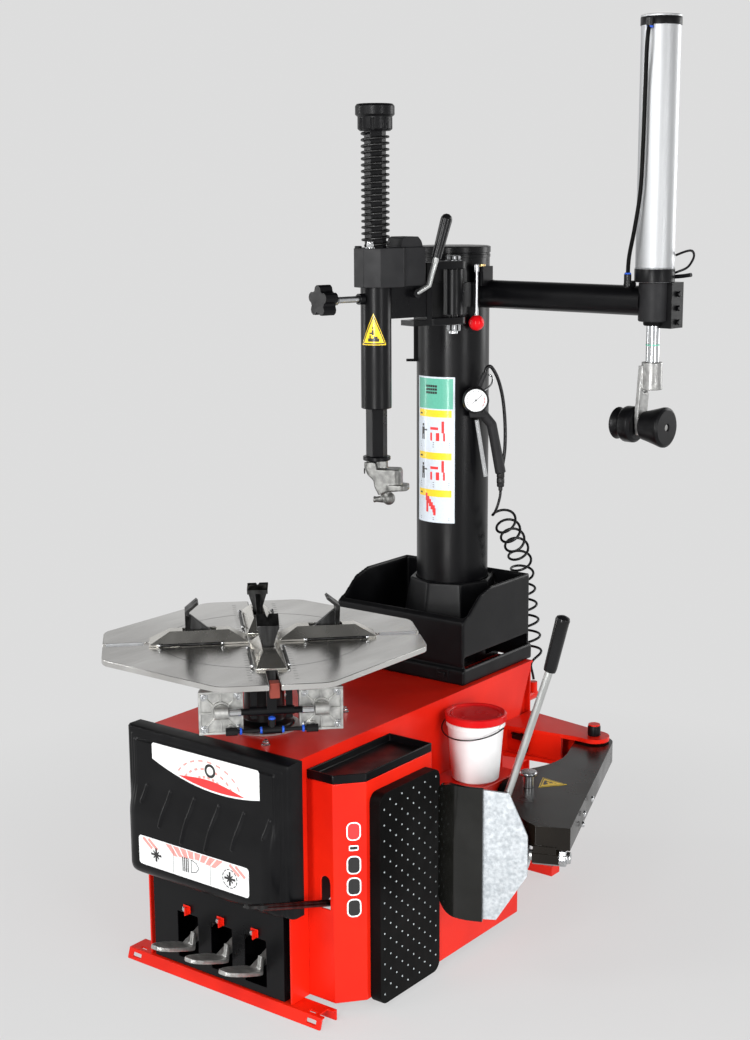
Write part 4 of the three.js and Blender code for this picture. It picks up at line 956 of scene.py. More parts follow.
def top_sticker():
    """Upper panel, flat above with a shallow arc below: dashed arcs, a sweep and a plain wheel."""
    panel = on_front(-COVER_PANEL - 0.2)
    film = SKIN + 0.15

    def belly_line(x, foot):
        return foot + 30 * ((x - 66) / 170) ** 2

    steps = 14
    outline = [(-128 + 300 * k / steps, belly_line(-128 + 300 * k / steps, 470)) for k in range(steps + 1)]
    outline += [(172, 540), (168, 545), (-124, 545), (-128, 541)]
    piece("cover_sticker_top", [mark(outline, panel)], ON_CABINET, "dial")
    arcs = []
    for ring, r in enumerate((40, 58, 76)):
        arcs += dashes(30, 462, (1.25 * r, 0.95 * r), range(22, 157, 15), 8, 6 - ring, panel, film)
    piece("cover_sticker_top_arcs", arcs, ON_CABINET, "pink_ink")
    sweep = [(x, belly_line(x, 474)) for x in range(-52, 133, 8)]
    for x in range(132, -53, -8):
        crest = 20 * math.cos((x - 40) / 92 * math.pi / 2)
        sweep.append((x, belly_line(x, 474) + crest))
    piece("cover_sticker_top_sweep", [mark(sweep, panel, SKIN, SKIN + 0.2)], ON_CABINET, "red_ink")
    wheel = [mark(circle(38, 516, 15, 28), panel, SKIN + 0.1, SKIN + 0.3)]
    piece("cover_sticker_wheel_mark", wheel, ON_CABINET, "ink")
    hub = [mark(circle(38, 516, 9, 24), panel, SKIN + 0.2, SKIN + 0.45)]
    piece("cover_sticker_wheel_hub", hub, ON_CABINET, "dial")


def low_sticker():
    """Lower panel with one plain pictogram over each pedal: clamp, press, turn."""
    low = on_front(-COVER_BELLY + 3.6)
    clamp_x, turn_x, middle_z = -112, 98, 300
    piece("cover_sticker_low", [mark(rounded(-163, 150, 270, 335, 8), low)], ON_CABINET, "dial")
    pinks = [stroke(x, 331, x + 26, 312, 7, low, SKIN, SKIN + 0.15) for x in (-150, -134, 98, 114)]
    for x in range(-84, 84, 21):
        foot, foot_z = x * 0.72, 318 - abs(x) / 12
        ray = [(x, 333), (x + 17, 333), (foot + 12, foot_z), (foot, foot_z)]
        pinks.append(mark(ray, low, SKIN, SKIN + 0.15))
    piece("cover_sticker_low_slashes", pinks, ON_CABINET, "pink_ink")
    inks = [stroke(x, 272, x, 326, 0.7, low, SKIN, SKIN + 0.2) for x in (-62, 44)]
    crosses = ((15, 0, 5), (0, 15, 5), (8, 8, 3), (8, -8, 3))
    for x in (clamp_x, turn_x):
        for layer, (a, b, width) in enumerate(crosses):
            ends = (x - a, middle_z - b, x + a, middle_z + b)
            inks.append(stroke(*ends, width, low, SKIN, SKIN + 0.25 + 0.05 * layer))
    inks += dashes(turn_x, middle_z, (20, 20), range(0, 360, 30), 22, 2, low, SKIN + 0.3)
    inks += [stroke(x, 284, x, 316, 2.6, low, SKIN, SKIN + 0.3) for x in (-34, -29, -24, -19)]
    shovel = [(-10, 286), (-10, 314), (4, 310), (12, 300), (4, 290), (-10, 286)]
    inks += [stroke(*a, *b, 1.4, low, SKIN, SKIN + 0.3) for a, b in zip(shovel, shovel[1:])]
    piece("cover_sticker_low_marks", inks, ON_CABINET, "ink")


# ------------------------------------------------------------------------------ cabinet trim

PEDAL_XS = {"left": -86, "middle": 12, "right": 108}
PEDAL_AXLE = {"y": 96, "z": 118}
PULLEYS = {"y": 216, "high": 445, "low": 210, "big": 63.5, "small": 35.5}


def deck_trim():
    face = DECK + 0.2
    bolts = []
    for x, y in ((88, 66), (-88, 66), (84, 338), (-84, 338)):
        bolts += [
            turned([(0, 0), (9.5, 0), (9.5, 1.6), (0, 1.6)], x, y, face, sides=32),
            nut(13, 1.6, 8, x, y, face),
            turned([(0, 8), (4, 8), (4, 11), (3.2, 12), (0, 12)], x, y, face, sides=20),
        ]
    piece("deck_bolts", bolts, ON_CABINET, "chrome", 0.5)
    step = [(66, face), (78, face), (78, DECK + 4), (74, DECK + 6), (66, DECK + 6), (66, face)]
    piece("deck_ring", [turned(step, 0, TABLE_BACK, sides=64)], ON_CABINET, "cast")


def tire_pad_studs():
    profile = [(0, 0), (2.1, 0), (2.0, 0.7), (1.2, 1.3), (0, 1.5)]
    studs = []
    for row in range(13):
        for column in range(10):
            z = 36 + 34 * row + (17 if column % 2 else 0)
            if z < 464:
                studs.append(turned(profile, 345.1, 134 + 20.5 * column, z, TO_X, 10))
    piece("tire_pad_studs", studs, ON_CABINET, "dot")


def side_strip():
    """Plain lozenges down the side box's chamfer, with no letters or digits."""
    start = Vector((295.5, 81.2))
    edge = Vector((45, 48.8)).normalized()
    out = Vector((edge.y, -edge.x))

    def on_chamfer(a, b, lift):
        spot = start + edge * a + out * (lift + 0.3)
        return Vector((spot.x, spot.y, b))

    def lozenge(half_wide, half_high, z, r, low=0.0, high=SKIN):
        middle = 9
        outline = rounded(middle - half_wide, middle + half_wide, z - half_high, z + half_high, r)
        return mark(outline, on_chamfer, low, high)

    top_z, *low_zs = (402, 329, 282, 235)
    dash_z = 366
    plates = [lozenge(15, 20, z, 12) for z in (top_z, *low_zs)]
    piece("side_strip_back", [*plates, lozenge(10, 6, dash_z, 3)], ON_CABINET, "dial")
    cores = [lozenge(12, 17, z, 9, SKIN, 2 * SKIN) for z in low_zs]
    cores.append(lozenge(8, 3, dash_z, 2, SKIN, 2 * SKIN))
    piece("side_strip_marks", cores, ON_CABINET, "ink")
    piece("side_strip_top_mark", [lozenge(12, 17, top_z, 9, SKIN, 2 * SKIN)], ON_CABINET, "red_ink")


def drive_trim():
    """Belt round the two pulleys, and the shaft that the pedals turn on."""
    y, high, low, big, small = PULLEYS.values()
    lean = math.asin((big - small) / (high - low))
    arc = []
    for k in range(25):
        turn = -lean + (math.pi + 2 * lean) * k / 24
        arc.append(Vector((y + big * math.cos(turn), high + big * math.sin(turn))))
    for k in range(19):
        turn = math.pi + lean + (math.pi - 2 * lean) * k / 18
        arc.append(Vector((y + small * math.cos(turn), low + small * math.sin(turn))))
    middle = Vector((y, (high + low) / 2))
    points, faces = [], []
    for thickness in (0, 6):
        for x in (-139, -123):
            for spot in arc:
                out = spot + (spot - middle).normalized() * thickness
                points.append(Vector((x, *out)))
    n = len(arc)
    for k in range(n):
        m = (k + 1) % n
        for p, q in ((0, 1), (1, 3), (3, 2), (2, 0)):
            faces.append([p * n + k, p * n + m, q * n + m, q * n + k])
    piece("drive_belt", [(points, faces)], ON_CABINET, "rubber", 1)
    shaft = rod(7.6, -130, 150, 0, PEDAL_AXLE["y"], PEDAL_AXLE["z"], TO_X)
    piece("pedal_shaft", [shaft], ON_CABINET, "steel", 0.6)


def pedal_shade_sheet():
    """Black sheet that closes off the room behind the pedal slots: painted shade standing in for the dark
    inside of the cabinet.
    """
    half, back, low, high, sheet = 184, 116, 27, 223, 2
    sheets = [
        block(-half, half, back, back + sheet, low, high),
        block(-half, half, sheet, back, low, low + sheet),
        block(-half - sheet, -half, sheet, back, low, high),
        block(half, half + sheet, sheet, back, low, high),
    ]
    piece("pedal_shade_sheet", sheets, ON_CABINET, "black")


def pedal_trim():
    forward = TO_Y @ Matrix.Rotation(math.pi, 4, "X")
    for name, x in PEDAL_XS.items():
        tab = block(x + 2, x + 5, -16, -4.2, 150, 168)
        foot = block(x - 10, x + 10, -6, -3.8, 152, 170)
        piece(f"pedal_stop_{name}", [tab, foot], ON_CABINET, "red", 0.6)
        piece(f"pedal_stop_nut_{name}", [nut(10, 0, 5, x - 4, -6.2, 161, forward)], ON_CABINET, "steel", 0.4)


# ------------------------------------------------------------------------------ turntable

def clamp_cover(name, side):
    """Ribs, rim and corner screws of a cast end cover on its cylinder."""
    y, z, face = side * CLAMP_OFFSET, CLAMP_Z, CLAMP_FACE
    half, rim = 45, 5
    inner = half - rim
    ribs = []
    for a0, a1, b0, b1 in ((-half, half, inner, half), (-half, half, -half, -inner),
                           (-half, -inner, -inner, inner), (inner, half, -inner, inner)):
        ribs.append(block(face, face + 4.5, y + a0, y + a1, z + b0, z + b1))
    for k in range(8):
        reach = 46 if k % 2 else 42
        turn = Matrix.Rotation(math.pi / 4 * k, 4, "X")
        ribs.append(placed(block(0, 4, -1.8, 1.8, 14, reach), at(face, y, z, turn)))
    ribs.append(turned([(15, 0), (20, 0), (20, 5), (15, 5), (15, 0)], face, y, z + 4, TO_X, 36))
    ribs.append(rod(8, 0, 9, face, y - side * 20, z - 32, TO_X))
    piece(f"clamp_cover_ribs_{name}", ribs, ON_CLAMPS, "cast", 0.7)
    head = [(0, 0), (6, 0), (6, 5), (5, 6), (3, 6), (3, 3), (0, 3)]
    boss = [(0, 0), (9.5, 0), (9, 3), (0, 3)]
    screws = []
    for a in (-35, 35):
        for b in (-35, 35):
            screws.append(turned(head, face + 0.2, y + a, z + b, TO_X, 20))
            screws.append(turned(boss, face + 0.1, y + a, z + b, TO_X))
    piece(f"clamp_cover_screws_{name}", screws, ON_CLAMPS, "steel", 0.4)


def collet(x, y, z, turn=None):
    return turned([(4.6, 0), (7.2, 0), (7.2, 3), (6.2, 4.5), (4.6, 4.5), (4.6, 0)], x, y, z, turn)


def table_air_line():
    x, z = CLAMP_FACE + 16, CLAMP_Z - 36
    bar_z = CLAMP_Z + 4
    reach = CLAMP_OFFSET - 20
    line = [
        rod(4.4, -reach + 12, reach - 12, x, 0, z, TO_Y),
        rod(8.5, -20, 20, x, 0, z, TO_Y),
        rod(7.5, -10, 14, x - 2, 0, z + 8),
    ]
    rings = [collet(x - 2, 0, z + 22)]
    guides = [rod(9, -46, 46, CLAMP_FACE + 14, 0, bar_z, TO_Y)]
    bright = []
    for side in (-1, 1):
        line.append(rod(8.4, -12, 12, x, side * reach, z, TO_Y))
        line.append(rod(7, -16, 2, x, side * (reach + 2), z + 2, TO_X))
        outwards = TO_Y if side > 0 else TO_Y.inverted()
        rings.append(collet(x, side * (reach - 16.5), z, outwards.inverted()))
        rings.append(collet(x, side * 20, z, outwards))
        guides.append(block(CLAMP_FACE + 8, CLAMP_FACE + 12, side * 36 - 7, side * 36 + 7, CLAMP_Z - 14, 706))
        bright.append(rod(7.6, side * 74 - 12, side * 74 + 12, x, 0, bar_z, TO_Y))
    piece("table_air_line", line, ON_CLAMPS, "grip", 0.6)
    piece("table_air_line_collets", rings, ON_CLAMPS, "blue")
    piece("slide_guides", guides, ON_CLAMPS, "black", 1)
    piece("tie_bar_bright_ends", bright, ON_CLAMPS, "chrome", 0.5)


def table_marks():
    """Scale ticks beside the jaws and a scribed ring, broken at the slots."""
    ticks = []
    for k in range(14):
        for end in (1, -1):
            r = end * (70 + 18 * k)
            for y in (-46, 46):
                ticks.append(slab(r - 0.6, r + 0.6, y - 4, y + 4, on_top(TABLE_TOP), 0.02, 0.15))
    piece("table_scale_ticks", ticks, ON_TABLE, "dark_steel")
    inner, line, gap = 217, 1.1, 8

    def on_ring(turn, out, lift):
        spot = on_round(inner)(turn, 0, out)
        return Vector((spot.x, spot.y, TABLE_TOP + lift))

    arcs = [slab(90 * k + gap, 90 * k + 90 - gap, 0, line, on_ring, 0.02, 0.14, 24) for k in range(4)]
    piece("table_scribed_ring", arcs, ON_TABLE, "dark_steel")


def table_trim():
    liners = []
    for k, place in enumerate(PLACES):
        turn = Matrix.Rotation(math.pi / 2 * k, 4, "Z")
        if k:
            for low, high in ((-SLOT_HALF, -SLIDER_HALF), (SLIDER_HALF, SLOT_HALF)):
                liners.append(placed(block(254, 334, low, high, 733, TABLE_TOP), turn))
        rods, balls = [], []
        for y in (-37, 37):
            rods.append(placed(rod(2.6, 92, 218, 0, y, TABLE_TOP + 5, TO_X), turn))
            balls += [placed(ball(4.4, x, y, TABLE_TOP + 5, 16), turn) for x in (88, 221)]
        on_jaw = (TABLE, f"{place}_jaw")
        piece(f"jaw_spring_{place}", rods, on_jaw, "dark_steel")
        piece(f"jaw_spring_ends_{place}", balls, on_jaw, "chrome")
    piece("slot_liners", liners, ON_TABLE, "aluminium")
    piece("front_slot_key", [block(300, 324, -10, 10, 710, 741)], ON_TABLE, "rust", 1.5)


# ------------------------------------------------------------------------------ column

LABEL = {"from": -122, "to": -52, "low": 903, "high": 1254}     # degrees round the column, and mm


def column_label():
    """Tall label strip wrapped on the column, with plain bars, blocks and arrows for its content."""
    start, foot = LABEL["from"], LABEL["low"]
    wide, tall = LABEL["to"] - start, LABEL["high"] - foot
    film = on_round(COLUMN_R + SKIN)
    full = 16

    def patch(u0, u1, v0, v1, lift=3):
        low = SKIN * (lift - 1) / 2
        ends = (start + wide * u0, start + wide * u1, foot + tall * v0, foot + tall * v1)
        return slab(*ends, film, low, low + SKIN, 2)

    paper = slab(start, start + wide, foot, foot + tall, film, steps=full)
    piece("column_label_paper", [paper], ON_COLUMN, "paper")
    head = slab(start + 3, start + wide - 3, 1178, 1250, film, SKIN, 1.4 * SKIN, full)
    piece("column_label_head", [head], ON_COLUMN, "mint")
    bands = []
    for z in (1158, 1056, 966):
        bands.append(slab(start + 4, start + wide - 5, z, z + 17, film, SKIN, 1.6 * SKIN, full))
    piece("column_label_bands", bands, ON_COLUMN, "yellow")
    reds = [patch(0.42, 0.78, v, v + 0.055) for v in (0.565, 0.295)]
    reds += [patch(0.70, 0.76, v, v + 0.08) for v in (0.62, 0.35)]
    reds += [patch(0.42, 0.62, v, v + 0.018) for v in (0.64, 0.37)]
    for k in range(5):
        reds.append(patch(0.28 + 0.05 * k, 0.34 + 0.05 * k, 0.15 - 0.02 * k, 0.20 - 0.02 * k))
    reds += [patch(0.30, 0.36, 0.07, 0.16), patch(0.5, 0.56, 0.05, 0.1)]
    piece("column_label_machine_marks", reds, ON_COLUMN, "red_ink")
    lines = (0.55, 0.535, 0.52, 0.275, 0.26, 0.245, 0.03, 0.018)
    inks = [patch(0.12, 0.88, v, v + 0.004) for v in lines]
    inks += [patch(0.10, 0.17, v, v + 0.011) for v in (0.742, 0.452, 0.196)]
    for v in (0.57, 0.30):
        inks += [
            patch(0.16, 0.24, v + 0.035, v + 0.085), patch(0.16, 0.19, v, v + 0.035),
            patch(0.21, 0.24, v, v + 0.035), patch(0.24, 0.32, v + 0.06, v + 0.072),
            patch(0.175, 0.225, v + 0.09, v + 0.108),
        ]
    piece("column_label_marks", inks, ON_COLUMN, "ink")
    grid = []
    for k in range(15):
        u, v = 0.30 + 0.06 * (k % 5), 0.885 + 0.022 * (k // 5)
        grid.append(patch(u, u + 0.05, v, v + 0.015, 4))
    piece("column_label_head_marks", grid, ON_COLUMN, "ink")


def triangle_sign(name, mapper, width, height, a, b, rider):
    """Yellow triangle with a black border and a plain block pictogram."""
    half = width / 2
    outer, inner = 0.92, 0.8
    reach = half * outer
    ink = (SKIN, SKIN + 0.2)

    def base(grow):
        return lambda u: b - height / 3 * grow

    def side(grow):
        return lambda u: base(grow)(u) + max(height * grow * (1 - abs(u - a) / (half * grow)), 0)

    def under(u):
        return max(side(inner)(u), base(inner)(u))

    def bar(u0, u1, v0, v1):
        return slab(a + half * u0, a + half * u1, b + height * v0, b + height * v1, mapper, *ink, 6)

    sheet = wrapped(base(1), side(1), a - half, a + half, mapper, steps=24)
    piece(f"{name}_yellow", [sheet], rider, "yellow")
    border = [wrapped(base(outer), base(inner), a - reach * 0.93, a + reach * 0.93, mapper, *ink)]
    for end in (-reach, reach):
        border.append(wrapped(under, side(outer), a + end, a, mapper, *ink))
    symbol = [
        bar(-0.42, 0.42, -0.22, -0.12), bar(-0.3, -0.2, -0.12, -0.02), bar(0.02, 0.3, -0.12, -0.06),
        bar(-0.12, 0.02, -0.02, 0.14), bar(-0.08, 0.0, 0.17, 0.25), bar(-0.3, -0.12, 0.02, 0.06),
    ]
    piece(f"{name}_marks", border + symbol, rider, "ink")


def column_trim():
    turn = Matrix.Rotation(math.radians(-143), 4, "Z")
    plate = placed(block(84, 94, -9, 9, 1288, 1406), turn)
    foot = placed(prism([(84, -9), (112, -3), (112, 6), (84, 9)], 1284, 1290), turn)
    piece("arm_stop_bracket", [plate, foot], ON_COLUMN, "black", 1)
    skin, rise = COLUMN_R + 0.2, COLUMN_R + 1.4
    band = lathe([(skin, 1531), (rise, 1532), (rise, 1538), (skin, 1539), (skin, 1531)], 96)
    piece("column_top_band", [band], ON_COLUMN, "black")
    latch = [block(118, 150, 646.4, 649, 560, 584), block(126, 142, 642.5, 646.6, 566, 577)]
    piece("tray_latch", latch, ON_CABINET, "plastic", 1)


# ------------------------------------------------------------------------------ swing arm and post

SPRING = {"low": 1565.6, "high": 1810.5, "turns": 18, "wire": 2.7, "r": 28.8, "keep": 0.43}
HOOD_BOLT = {"x": POST_X + 31, "y": 22, "z": 1563.2}
KNOB_Z = 1453


def post_spring():
    turns, wire, r = SPRING["turns"], SPRING["wire"], SPRING["r"]
    low, high = SPRING["low"] + wire, SPRING["high"] - wire
    steps = turns * 28
    path = []
    for k in range(steps + 1):
        turn = 2 * math.pi * turns * k / steps
        z = low + (high - low) * k / steps
        path.append((POST_X + r * math.cos(turn), r * math.sin(turn), z))
    coil = piece("post_return_spring", [swept(path, wire, 10)], ON_ARM, "dark_steel", crease=60)
    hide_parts("post_spring")
    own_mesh(coil)


def arm_fasteners():
    x, y, z = HOOD_BOLT.values()
    acorn = [
        turned([(0, 0), (11, 0), (11, 2), (0, 2)], x, y, z, sides=32),
        nut(15, 2, 10, x, y, z),
        turned([(0, 10), (6.6, 10), (6.4, 13), (4.4, 16.5), (0, 18)], x, y, z),
    ]
    piece("hood_acorn_nut", acorn, ON_ARM, "chrome", 0.4)
    plug = turned([(0, 0), (8, 0), (8, 3), (6.5, 4), (0, 4)], x, -y, z)
    piece("hood_plug", [plug], ON_ARM, "hood")
    hinge = [
        hexagon(31, 1370, 1386, 1.5), disc_rod(20, 1385.4, 1387.8), disc_rod(10.6, 1364, 1371),
        hexagon(28.5, 1530, 1541, 1.5), disc_rod(19, 1528.3, 1530.6),
    ]
    piece("hinge_nut_and_head", hinge, ON_ARM, "steel", 0.8)
    screw = [nut(12, 0, 6, 60, -28, 1394, TO_Y), rod(9, -0.4, 1, 60, -24.4, 1394, TO_Y)]
    piece("arm_stop_screw", screw, ON_ARM, "steel", 0.5)
    plan = rounded(-27, 70, -25, 25, 20)
    piece("fork_plate_faces", [prism(plan, 1528, 1529.4), prism(plan, 1386.6, 1388)], ON_ARM, "hood", 0.4)


def arm_handles():
    """Stem and collar of the stop knob, and the bright rod of the lock lever."""
    start, r = POST_X + 104, 11.6
    flare = [(0, start), (9, start), (r, start + 6), (r, start + 18), (0, start + 18)]
    stem = [rod(7.2, POST_X + 36, start + 2, 0, 0, KNOB_Z, TO_X), turned(flare, 0, 0, KNOB_Z, TO_X, 28)]
    piece("stop_knob_stem", stem, (ARM, "stop_knob"), "steel", 0.6)
    near, far = POST_X + 35, POST_X + 48
    collar = turned([(8, near), (12, near), (12, far), (8, far), (8, near)], 0, 0, KNOB_Z, TO_X, 28)
    piece("stop_stem_collar", [collar], ON_ARM, "black", 0.6)
    lever = swept([(133, 34, 1462), (103, 40, 1478), (82, 41, 1538)], 6.4, 20)
    piece("lock_lever_rod", [lever], (ARM, "lock_lever"), "lever")
    on_post = ARM @ Matrix.Translation((POST_X, 0, 0))
    triangle_sign("post_warning_sign", on_round(34.2), 100, 70, 44, 1376, (on_post, "swing_arm"))


def mount_head_trim():
    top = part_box("mount_head")[1].z / MM
    turn = Matrix.Rotation(math.radians(60), 4, "Z")
    head = [(0, 0), (6.5, 0), (6.5, 2), (3, 2), (3, 0.6), (0, 0.6)]
    screws = []
    for side in (-1, 1):
        flip = TO_Y if side > 0 else TO_Y.inverted()
        screw = turned(head, -22, side * 24.8, top - 28, flip)
        screws.append(placed(screw, at(POST_X, 0, 0, turn)))
    piece("mount_head_screws", screws, (ARM, "tool_post"), "dark_steel", 0.3)


# ------------------------------------------------------------------------------ helper arm

def press_trim():
    """Ends, guide, wiper and block bolts of the press cylinder, and the mark on its rod."""
    x = HELPER_SPAN
    cap = [(0, 2020), (43.4, 2020), (43.4, 2036), (41, 2040.6), (0, 2040.6)]
    collar = [(0, 1490), (43.4, 1490), (43.4, 1517), (42.2, 1519.4), (0, 1519.4)]
    ends = [turned(profile, x, sides=64) for profile in (cap, collar)]
    piece("press_cylinder_ends", ends, ON_HELPER, "plastic", 0.6)
    sleeve = [(33.4, 1407), (33.4, 1487), (31, 1489), (31, 1405), (33.4, 1407)]
    piece("press_guide_sleeve", [turned(sleeve, x, sides=64)], ON_HELPER, "hood")
    wiper = [(15.8, 1396), (20, 1396), (22, 1399), (22, 1406), (15.8, 1406), (15.8, 1396)]
    piece("press_rod_wiper", [turned(wiper, x, sides=40)], ON_HELPER, "rubber")
    band = [(15, 1353), (15.35, 1353.3), (15.35, 1355.7), (15, 1356), (15, 1353)]
    piece("press_rod_mark", [turned(band, x, sides=40)], (HELPER, "press_rod"), "mint")
    bolts = [nut(11, 0, 6, x + 46.2, 22, z, TO_X) for z in (1404, 1434, 1464)]
    piece("press_block_bolts", bolts, ON_HELPER, "black", 0.6)


def press_hoses():
    x, side = HELPER_SPAN, -51
    elbows = [
        rod(7.5, -6, 10, x + 4, side + 6, 2026, TO_Y),
        rod(7.5, -12, 5, x + 4, side + 2, 2028),
        rod(8, -16, 10, x - 44, side + 14, 1496),
        rod(8, -24, 2, x - 44, side + 34, 1484, TO_Y),
    ]
    piece("press_hose_elbows", elbows, ON_HELPER, "grip", 0.8)
    rings = [collet(x + 4, side + 2, 2017, TO_X @ TO_X), collet(x - 44, side + 14, 1505)]
    piece("press_hose_collets", rings, ON_HELPER, "blue")
    loop = smooth_path([
        (x + 28, 36, 1508), (x + 52, 44, 1519), (x + 68, 40, 1535), (x + 74, 36, 1548),
        (x + 70, 32, 1556), (x + 56, 30, 1554), (x + 34, 28, 1546),
    ])
    stub = smooth_path([(x + 30, 30, 1500), (x + 50, 34, 1502), (x + 70, 34, 1505)], 6)
    piece("press_exhaust_line", [swept(loop, 2.6), swept(stub, 4.4, 14)], ON_HELPER, "grip")


def valve_trim():
    shank = [(0, 1397), (4.1, 1397), (4.1, 1500), (6.6, 1501), (6.6, 1517), (4, 1519), (0, 1519)]
    piece("valve_lever_rod", [turned(shank, 106.4, -42.4)], (HELPER, "valve_lever"), "steel", 0.3)
    plunger = turned([(0, 0), (7, 0), (7, 5), (0, 5)], 113, -30, 1513)
    piece("valve_plunger", [plunger], ON_HELPER, "brass", 0.4)


# ------------------------------------------------------------------------------ bead breaker

BLADE_SHAFT_X = 546
ARM_STOP = {"y": 600, "z": 330}


def bead_arm_trim():
    pin = [
        (0, 410.2), (11.6, 410.2), (11.6, 436.5), (18.4, 438), (19.2, 440), (19.2, 443),
        (17, 445.6), (0, 446.4),
    ]
    piece("bead_pin_head", [turned(pin, 337, -102, sides=40)], ON_BEAD_ARM, "steel", 0.5)
    triangle_sign("bead_arm_sign", on_top(410.3), 62, 58, 306, -60, ON_BEAD_ARM)
    head = [(0, -1), (6.5, -1), (6.5, 2), (5, 4.2), (0, 4.8)]
    screws = []
    for x, z in ((330, 392), (420, 392), (436, 374)):
        taper = (x - 330) * 0.06
        screws.append(turned(head, x, 36 - taper, z, TO_Y))
    piece("bead_arm_screws", screws, ON_BEAD_ARM, "chrome", 0.3)


def blade_trim():
    x, z = BLADE_SHAFT_X, SLEEVE_Z
    end = [(0, 12), (12.6, 12), (12.6, 17), (10.5, 20.4), (0, 20.4)]
    shaft_nut = [nut(33, -3.2, 12.3, x, 0, z, TO_Y, 1.6), turned(end, x, 0, z, TO_Y, 28)]
    piece("blade_shaft_nut", shaft_nut, ON_BLADE, "steel", 0.6)
    head = [(0, 0), (7, 0), (7, 1.4), (5, 3.2), (0, 3.8)]
    screws = [turned(head, BLADE_FACE + 6.8, y, height, TO_X) for y, height in ((-172, 436), (-168, 246))]
    piece("blade_guard_screws", screws, ON_BLADE, "dark_steel", 0.3)

    def bulge(share):
        """Full over the hand's width, narrower at the foot and rounded at the end."""
        if share < 0.7:
            return 0.82 + 0.18 * min(share * 2, 1)
        return math.sqrt(max(1 - ((share - 0.6) / 0.42) ** 2, 0.02))

    path = [
        (562.6, -27, 742), (563, -25, 749), (573, -2, 847), (573.5, -1, 851), (574.1, 0.2, 856),
        (574.5, 1.1, 860),
    ]
    piece("blade_lever_grip", [swept(path, 15, 28, bulge)], ON_BLADE, "grip")


def bracket_trim():
    cap = lathe([(0, 425), (14.6, 425), (15.2, 428), (15.2, 446), (13, 451.4), (0, 451.8)], 36)
    piece("pivot_pin_cap", [cap], (BEAD, "chassis"), "plastic")
    y, z = ARM_STOP.values()
    stop = turned([(0, 0), (40, 0), (42, 4), (42, 12), (38, 16), (0, 16)], 340.3, y, z, TO_X, 48)
    piece("arm_rubber_stop", [stop], ON_CABINET, "rubber")
    washer = turned([(0, 0), (9, 0), (9, 2), (0, 2)], 356, y, z, TO_X)
    piece("arm_stop_washer", [washer], ON_CABINET, "steel", 0.3)
    path = smooth_path([(212, 822, 398), (236, 806, 400), (262, 800, 392), (270, 806, 372), (258, 812, 352)])
    union = [rod(8, 0, 20, 232, 806, 396, TO_X), nut(18, 20, 30, 232, 806, 396, TO_X)]
    piece("bracket_air_union", [swept(path, 4), *union], ON_CABINET, "grip", 0.5)


# ------------------------------------------------------------------------------ inflator

GUN_Z = 1204


def gauge():
    z = GUN_Z
    forward = TO_Y.inverted()
    rim = [(26, 16), (30.6, 16), (31.2, 19), (29.6, 22.5), (27, 22.5), (26, 20), (26, 16)]
    piece("gauge_bezel", [turned(rim, 0, 0, z, forward, 56)], ON_GUN, "grip")
    piece("gauge_dial", [rod(26.6, 19.6, 20.5, 0, 0, z, forward, 56)], ON_GUN, "dial")
    face = on_front(-20.6)

    def around(r, turn):
        return r * math.cos(turn), z + r * math.sin(turn)

    ticks = []
    for k in range(28):
        turn = math.radians(-45 + 270 * k / 27)
        inner = 20.5 if k % 3 else 18.5
        ticks.append(stroke(*around(inner, turn), *around(23, turn), 1.1, face, 0, 0.15))
    ticks.append(stroke(-9, z - 8, 14, z + 12, 1.3, face, 0, 0.3))
    ticks.append(mark(circle(0, z, 2.6, 16), face, 0, 0.4))
    piece("gauge_marks", ticks, ON_GUN, "ink")
    zone = []
    for a in range(-40, 20, 6):
        ends = (*around(20, math.radians(a)), *around(20, math.radians(a + 6)))
        zone.append(stroke(*ends, 1.4, face, 0, 0.12))
    piece("gauge_red_zone", zone, ON_GUN, "red_ink")
    lens = turned([(0, 21.4), (26.4, 21.4), (26.4, 21.9), (16, 23.4), (0, 23.8)], 0, 0, z, forward, 48)
    piece("gauge_glass", [lens], ON_GUN, "glass")


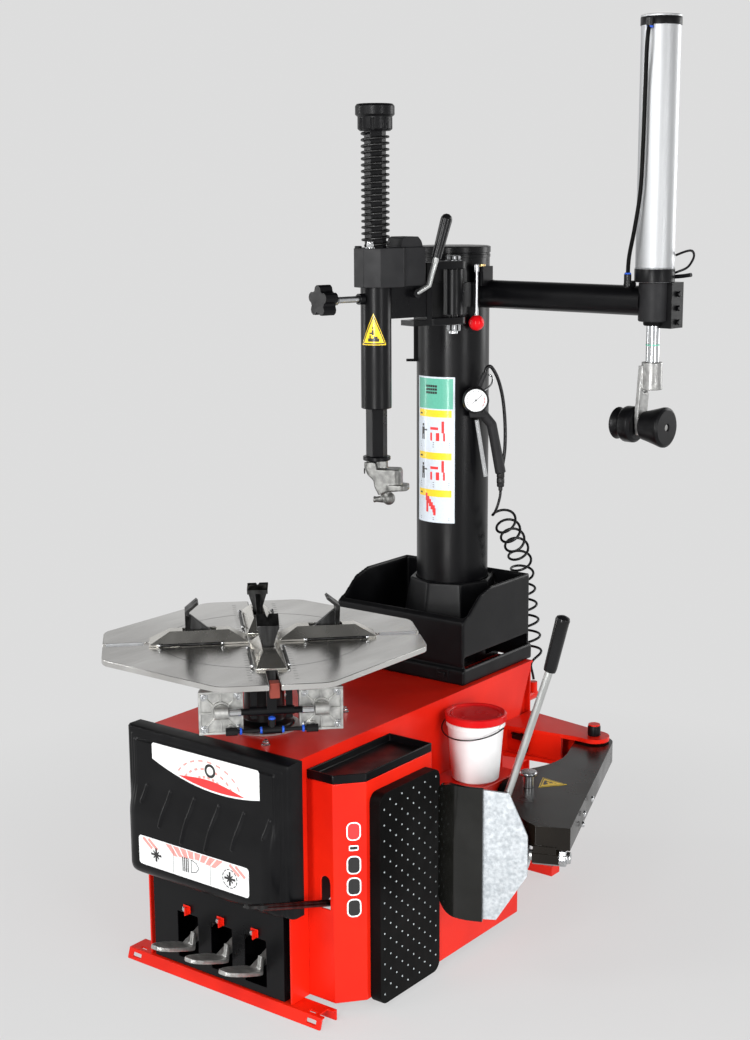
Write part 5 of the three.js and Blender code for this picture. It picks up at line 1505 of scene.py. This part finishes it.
def gun_trim():
    z = GUN_Z
    whip = smooth_path([
        (24, 14, z + 60), (27, 15, z + 72), (38, 18, z + 74), (54, 22, z + 46), (66, 24, z),
        (72, 24, z - 60), (72, 22, z - 120), (66, 18, z - 165), (62, 16, z - 196),
    ])
    piece("chuck_hose", [swept(whip, 4.2, 14)], ON_GUN, "grip")
    hook = smooth_path([
        (20, 20, z + 18), (34, 28, z + 26), (42, 34, z + 38), (40, 40, z + 50), (32, 42, z + 54),
    ], 6)
    piece("hose_hook", [swept(hook, 2.2)], ON_GUN, "chrome")
    waist = [
        (0, -206), (7, -206), (9.4, -202), (9.4, -192), (8, -190), (9.4, -188), (9.4, -178), (0, -178),
    ]
    swivel = [
        turned(waist, 62, 16, z, sides=28),
        turned([(0, -176), (7, -176), (7, -170), (0, -170)], 62, 16, z, sides=6),
        turned([(0, -221), (4.4, -221), (5, -219), (5, -205), (0, -205)], 62, 16, z),
    ]
    piece("gun_swivel", swivel, ON_GUN, "dark_steel", 0.4)


# ------------------------------------------------------------------------------ bucket

def bucket_trim():
    ear = [(0, 0), (6, 0), (6, 3), (4, 4.6), (0, 5)]
    ears = []
    for side in (-1, 1):
        outwards = TO_X if side > 0 else TO_X.inverted()
        ears.append(turned(ear, side * 67, 0, 504.4, outwards, 20))
    piece("bucket_ears", ears, ON_BUCKET, "white")
    rim = lathe([(65.4, 499.6), (67.2, 500.2), (67.2, 501.8), (65.4, 502.4), (65.4, 499.6)], 72)
    piece("bucket_rim_rings", [rim], ON_BUCKET, "white")
    ring = lathe([(52, 525.4), (54, 526.6), (57, 526.6), (58.4, 525.4), (52, 525.4)], 72)
    piece("bucket_lid_ring", [ring], (BUCKET, "bucket_lid"), "lid")
    piece("shelf_clip", [block(208, 216, 425, 441, 376, 404)], ON_CABINET, "rubber", 2)


# ------------------------------------------------------------------------------ build

add_camera()
MATERIALS = make_materials()
coil_hose()
add_stage()
dress_cad_nodes()
front_cover()
top_sticker()
low_sticker()
deck_trim()
tire_pad_studs()
side_strip()
drive_trim()
pedal_shade_sheet()
pedal_trim()
clamp_cover("left", -1)
clamp_cover("right", 1)
table_air_line()
table_marks()
table_trim()
column_label()
column_trim()
post_spring()
arm_fasteners()
arm_handles()
mount_head_trim()
press_trim()
press_hoses()
valve_trim()
bead_arm_trim()
blade_trim()
bracket_trim()
gauge()
gun_trim()
bucket_trim()
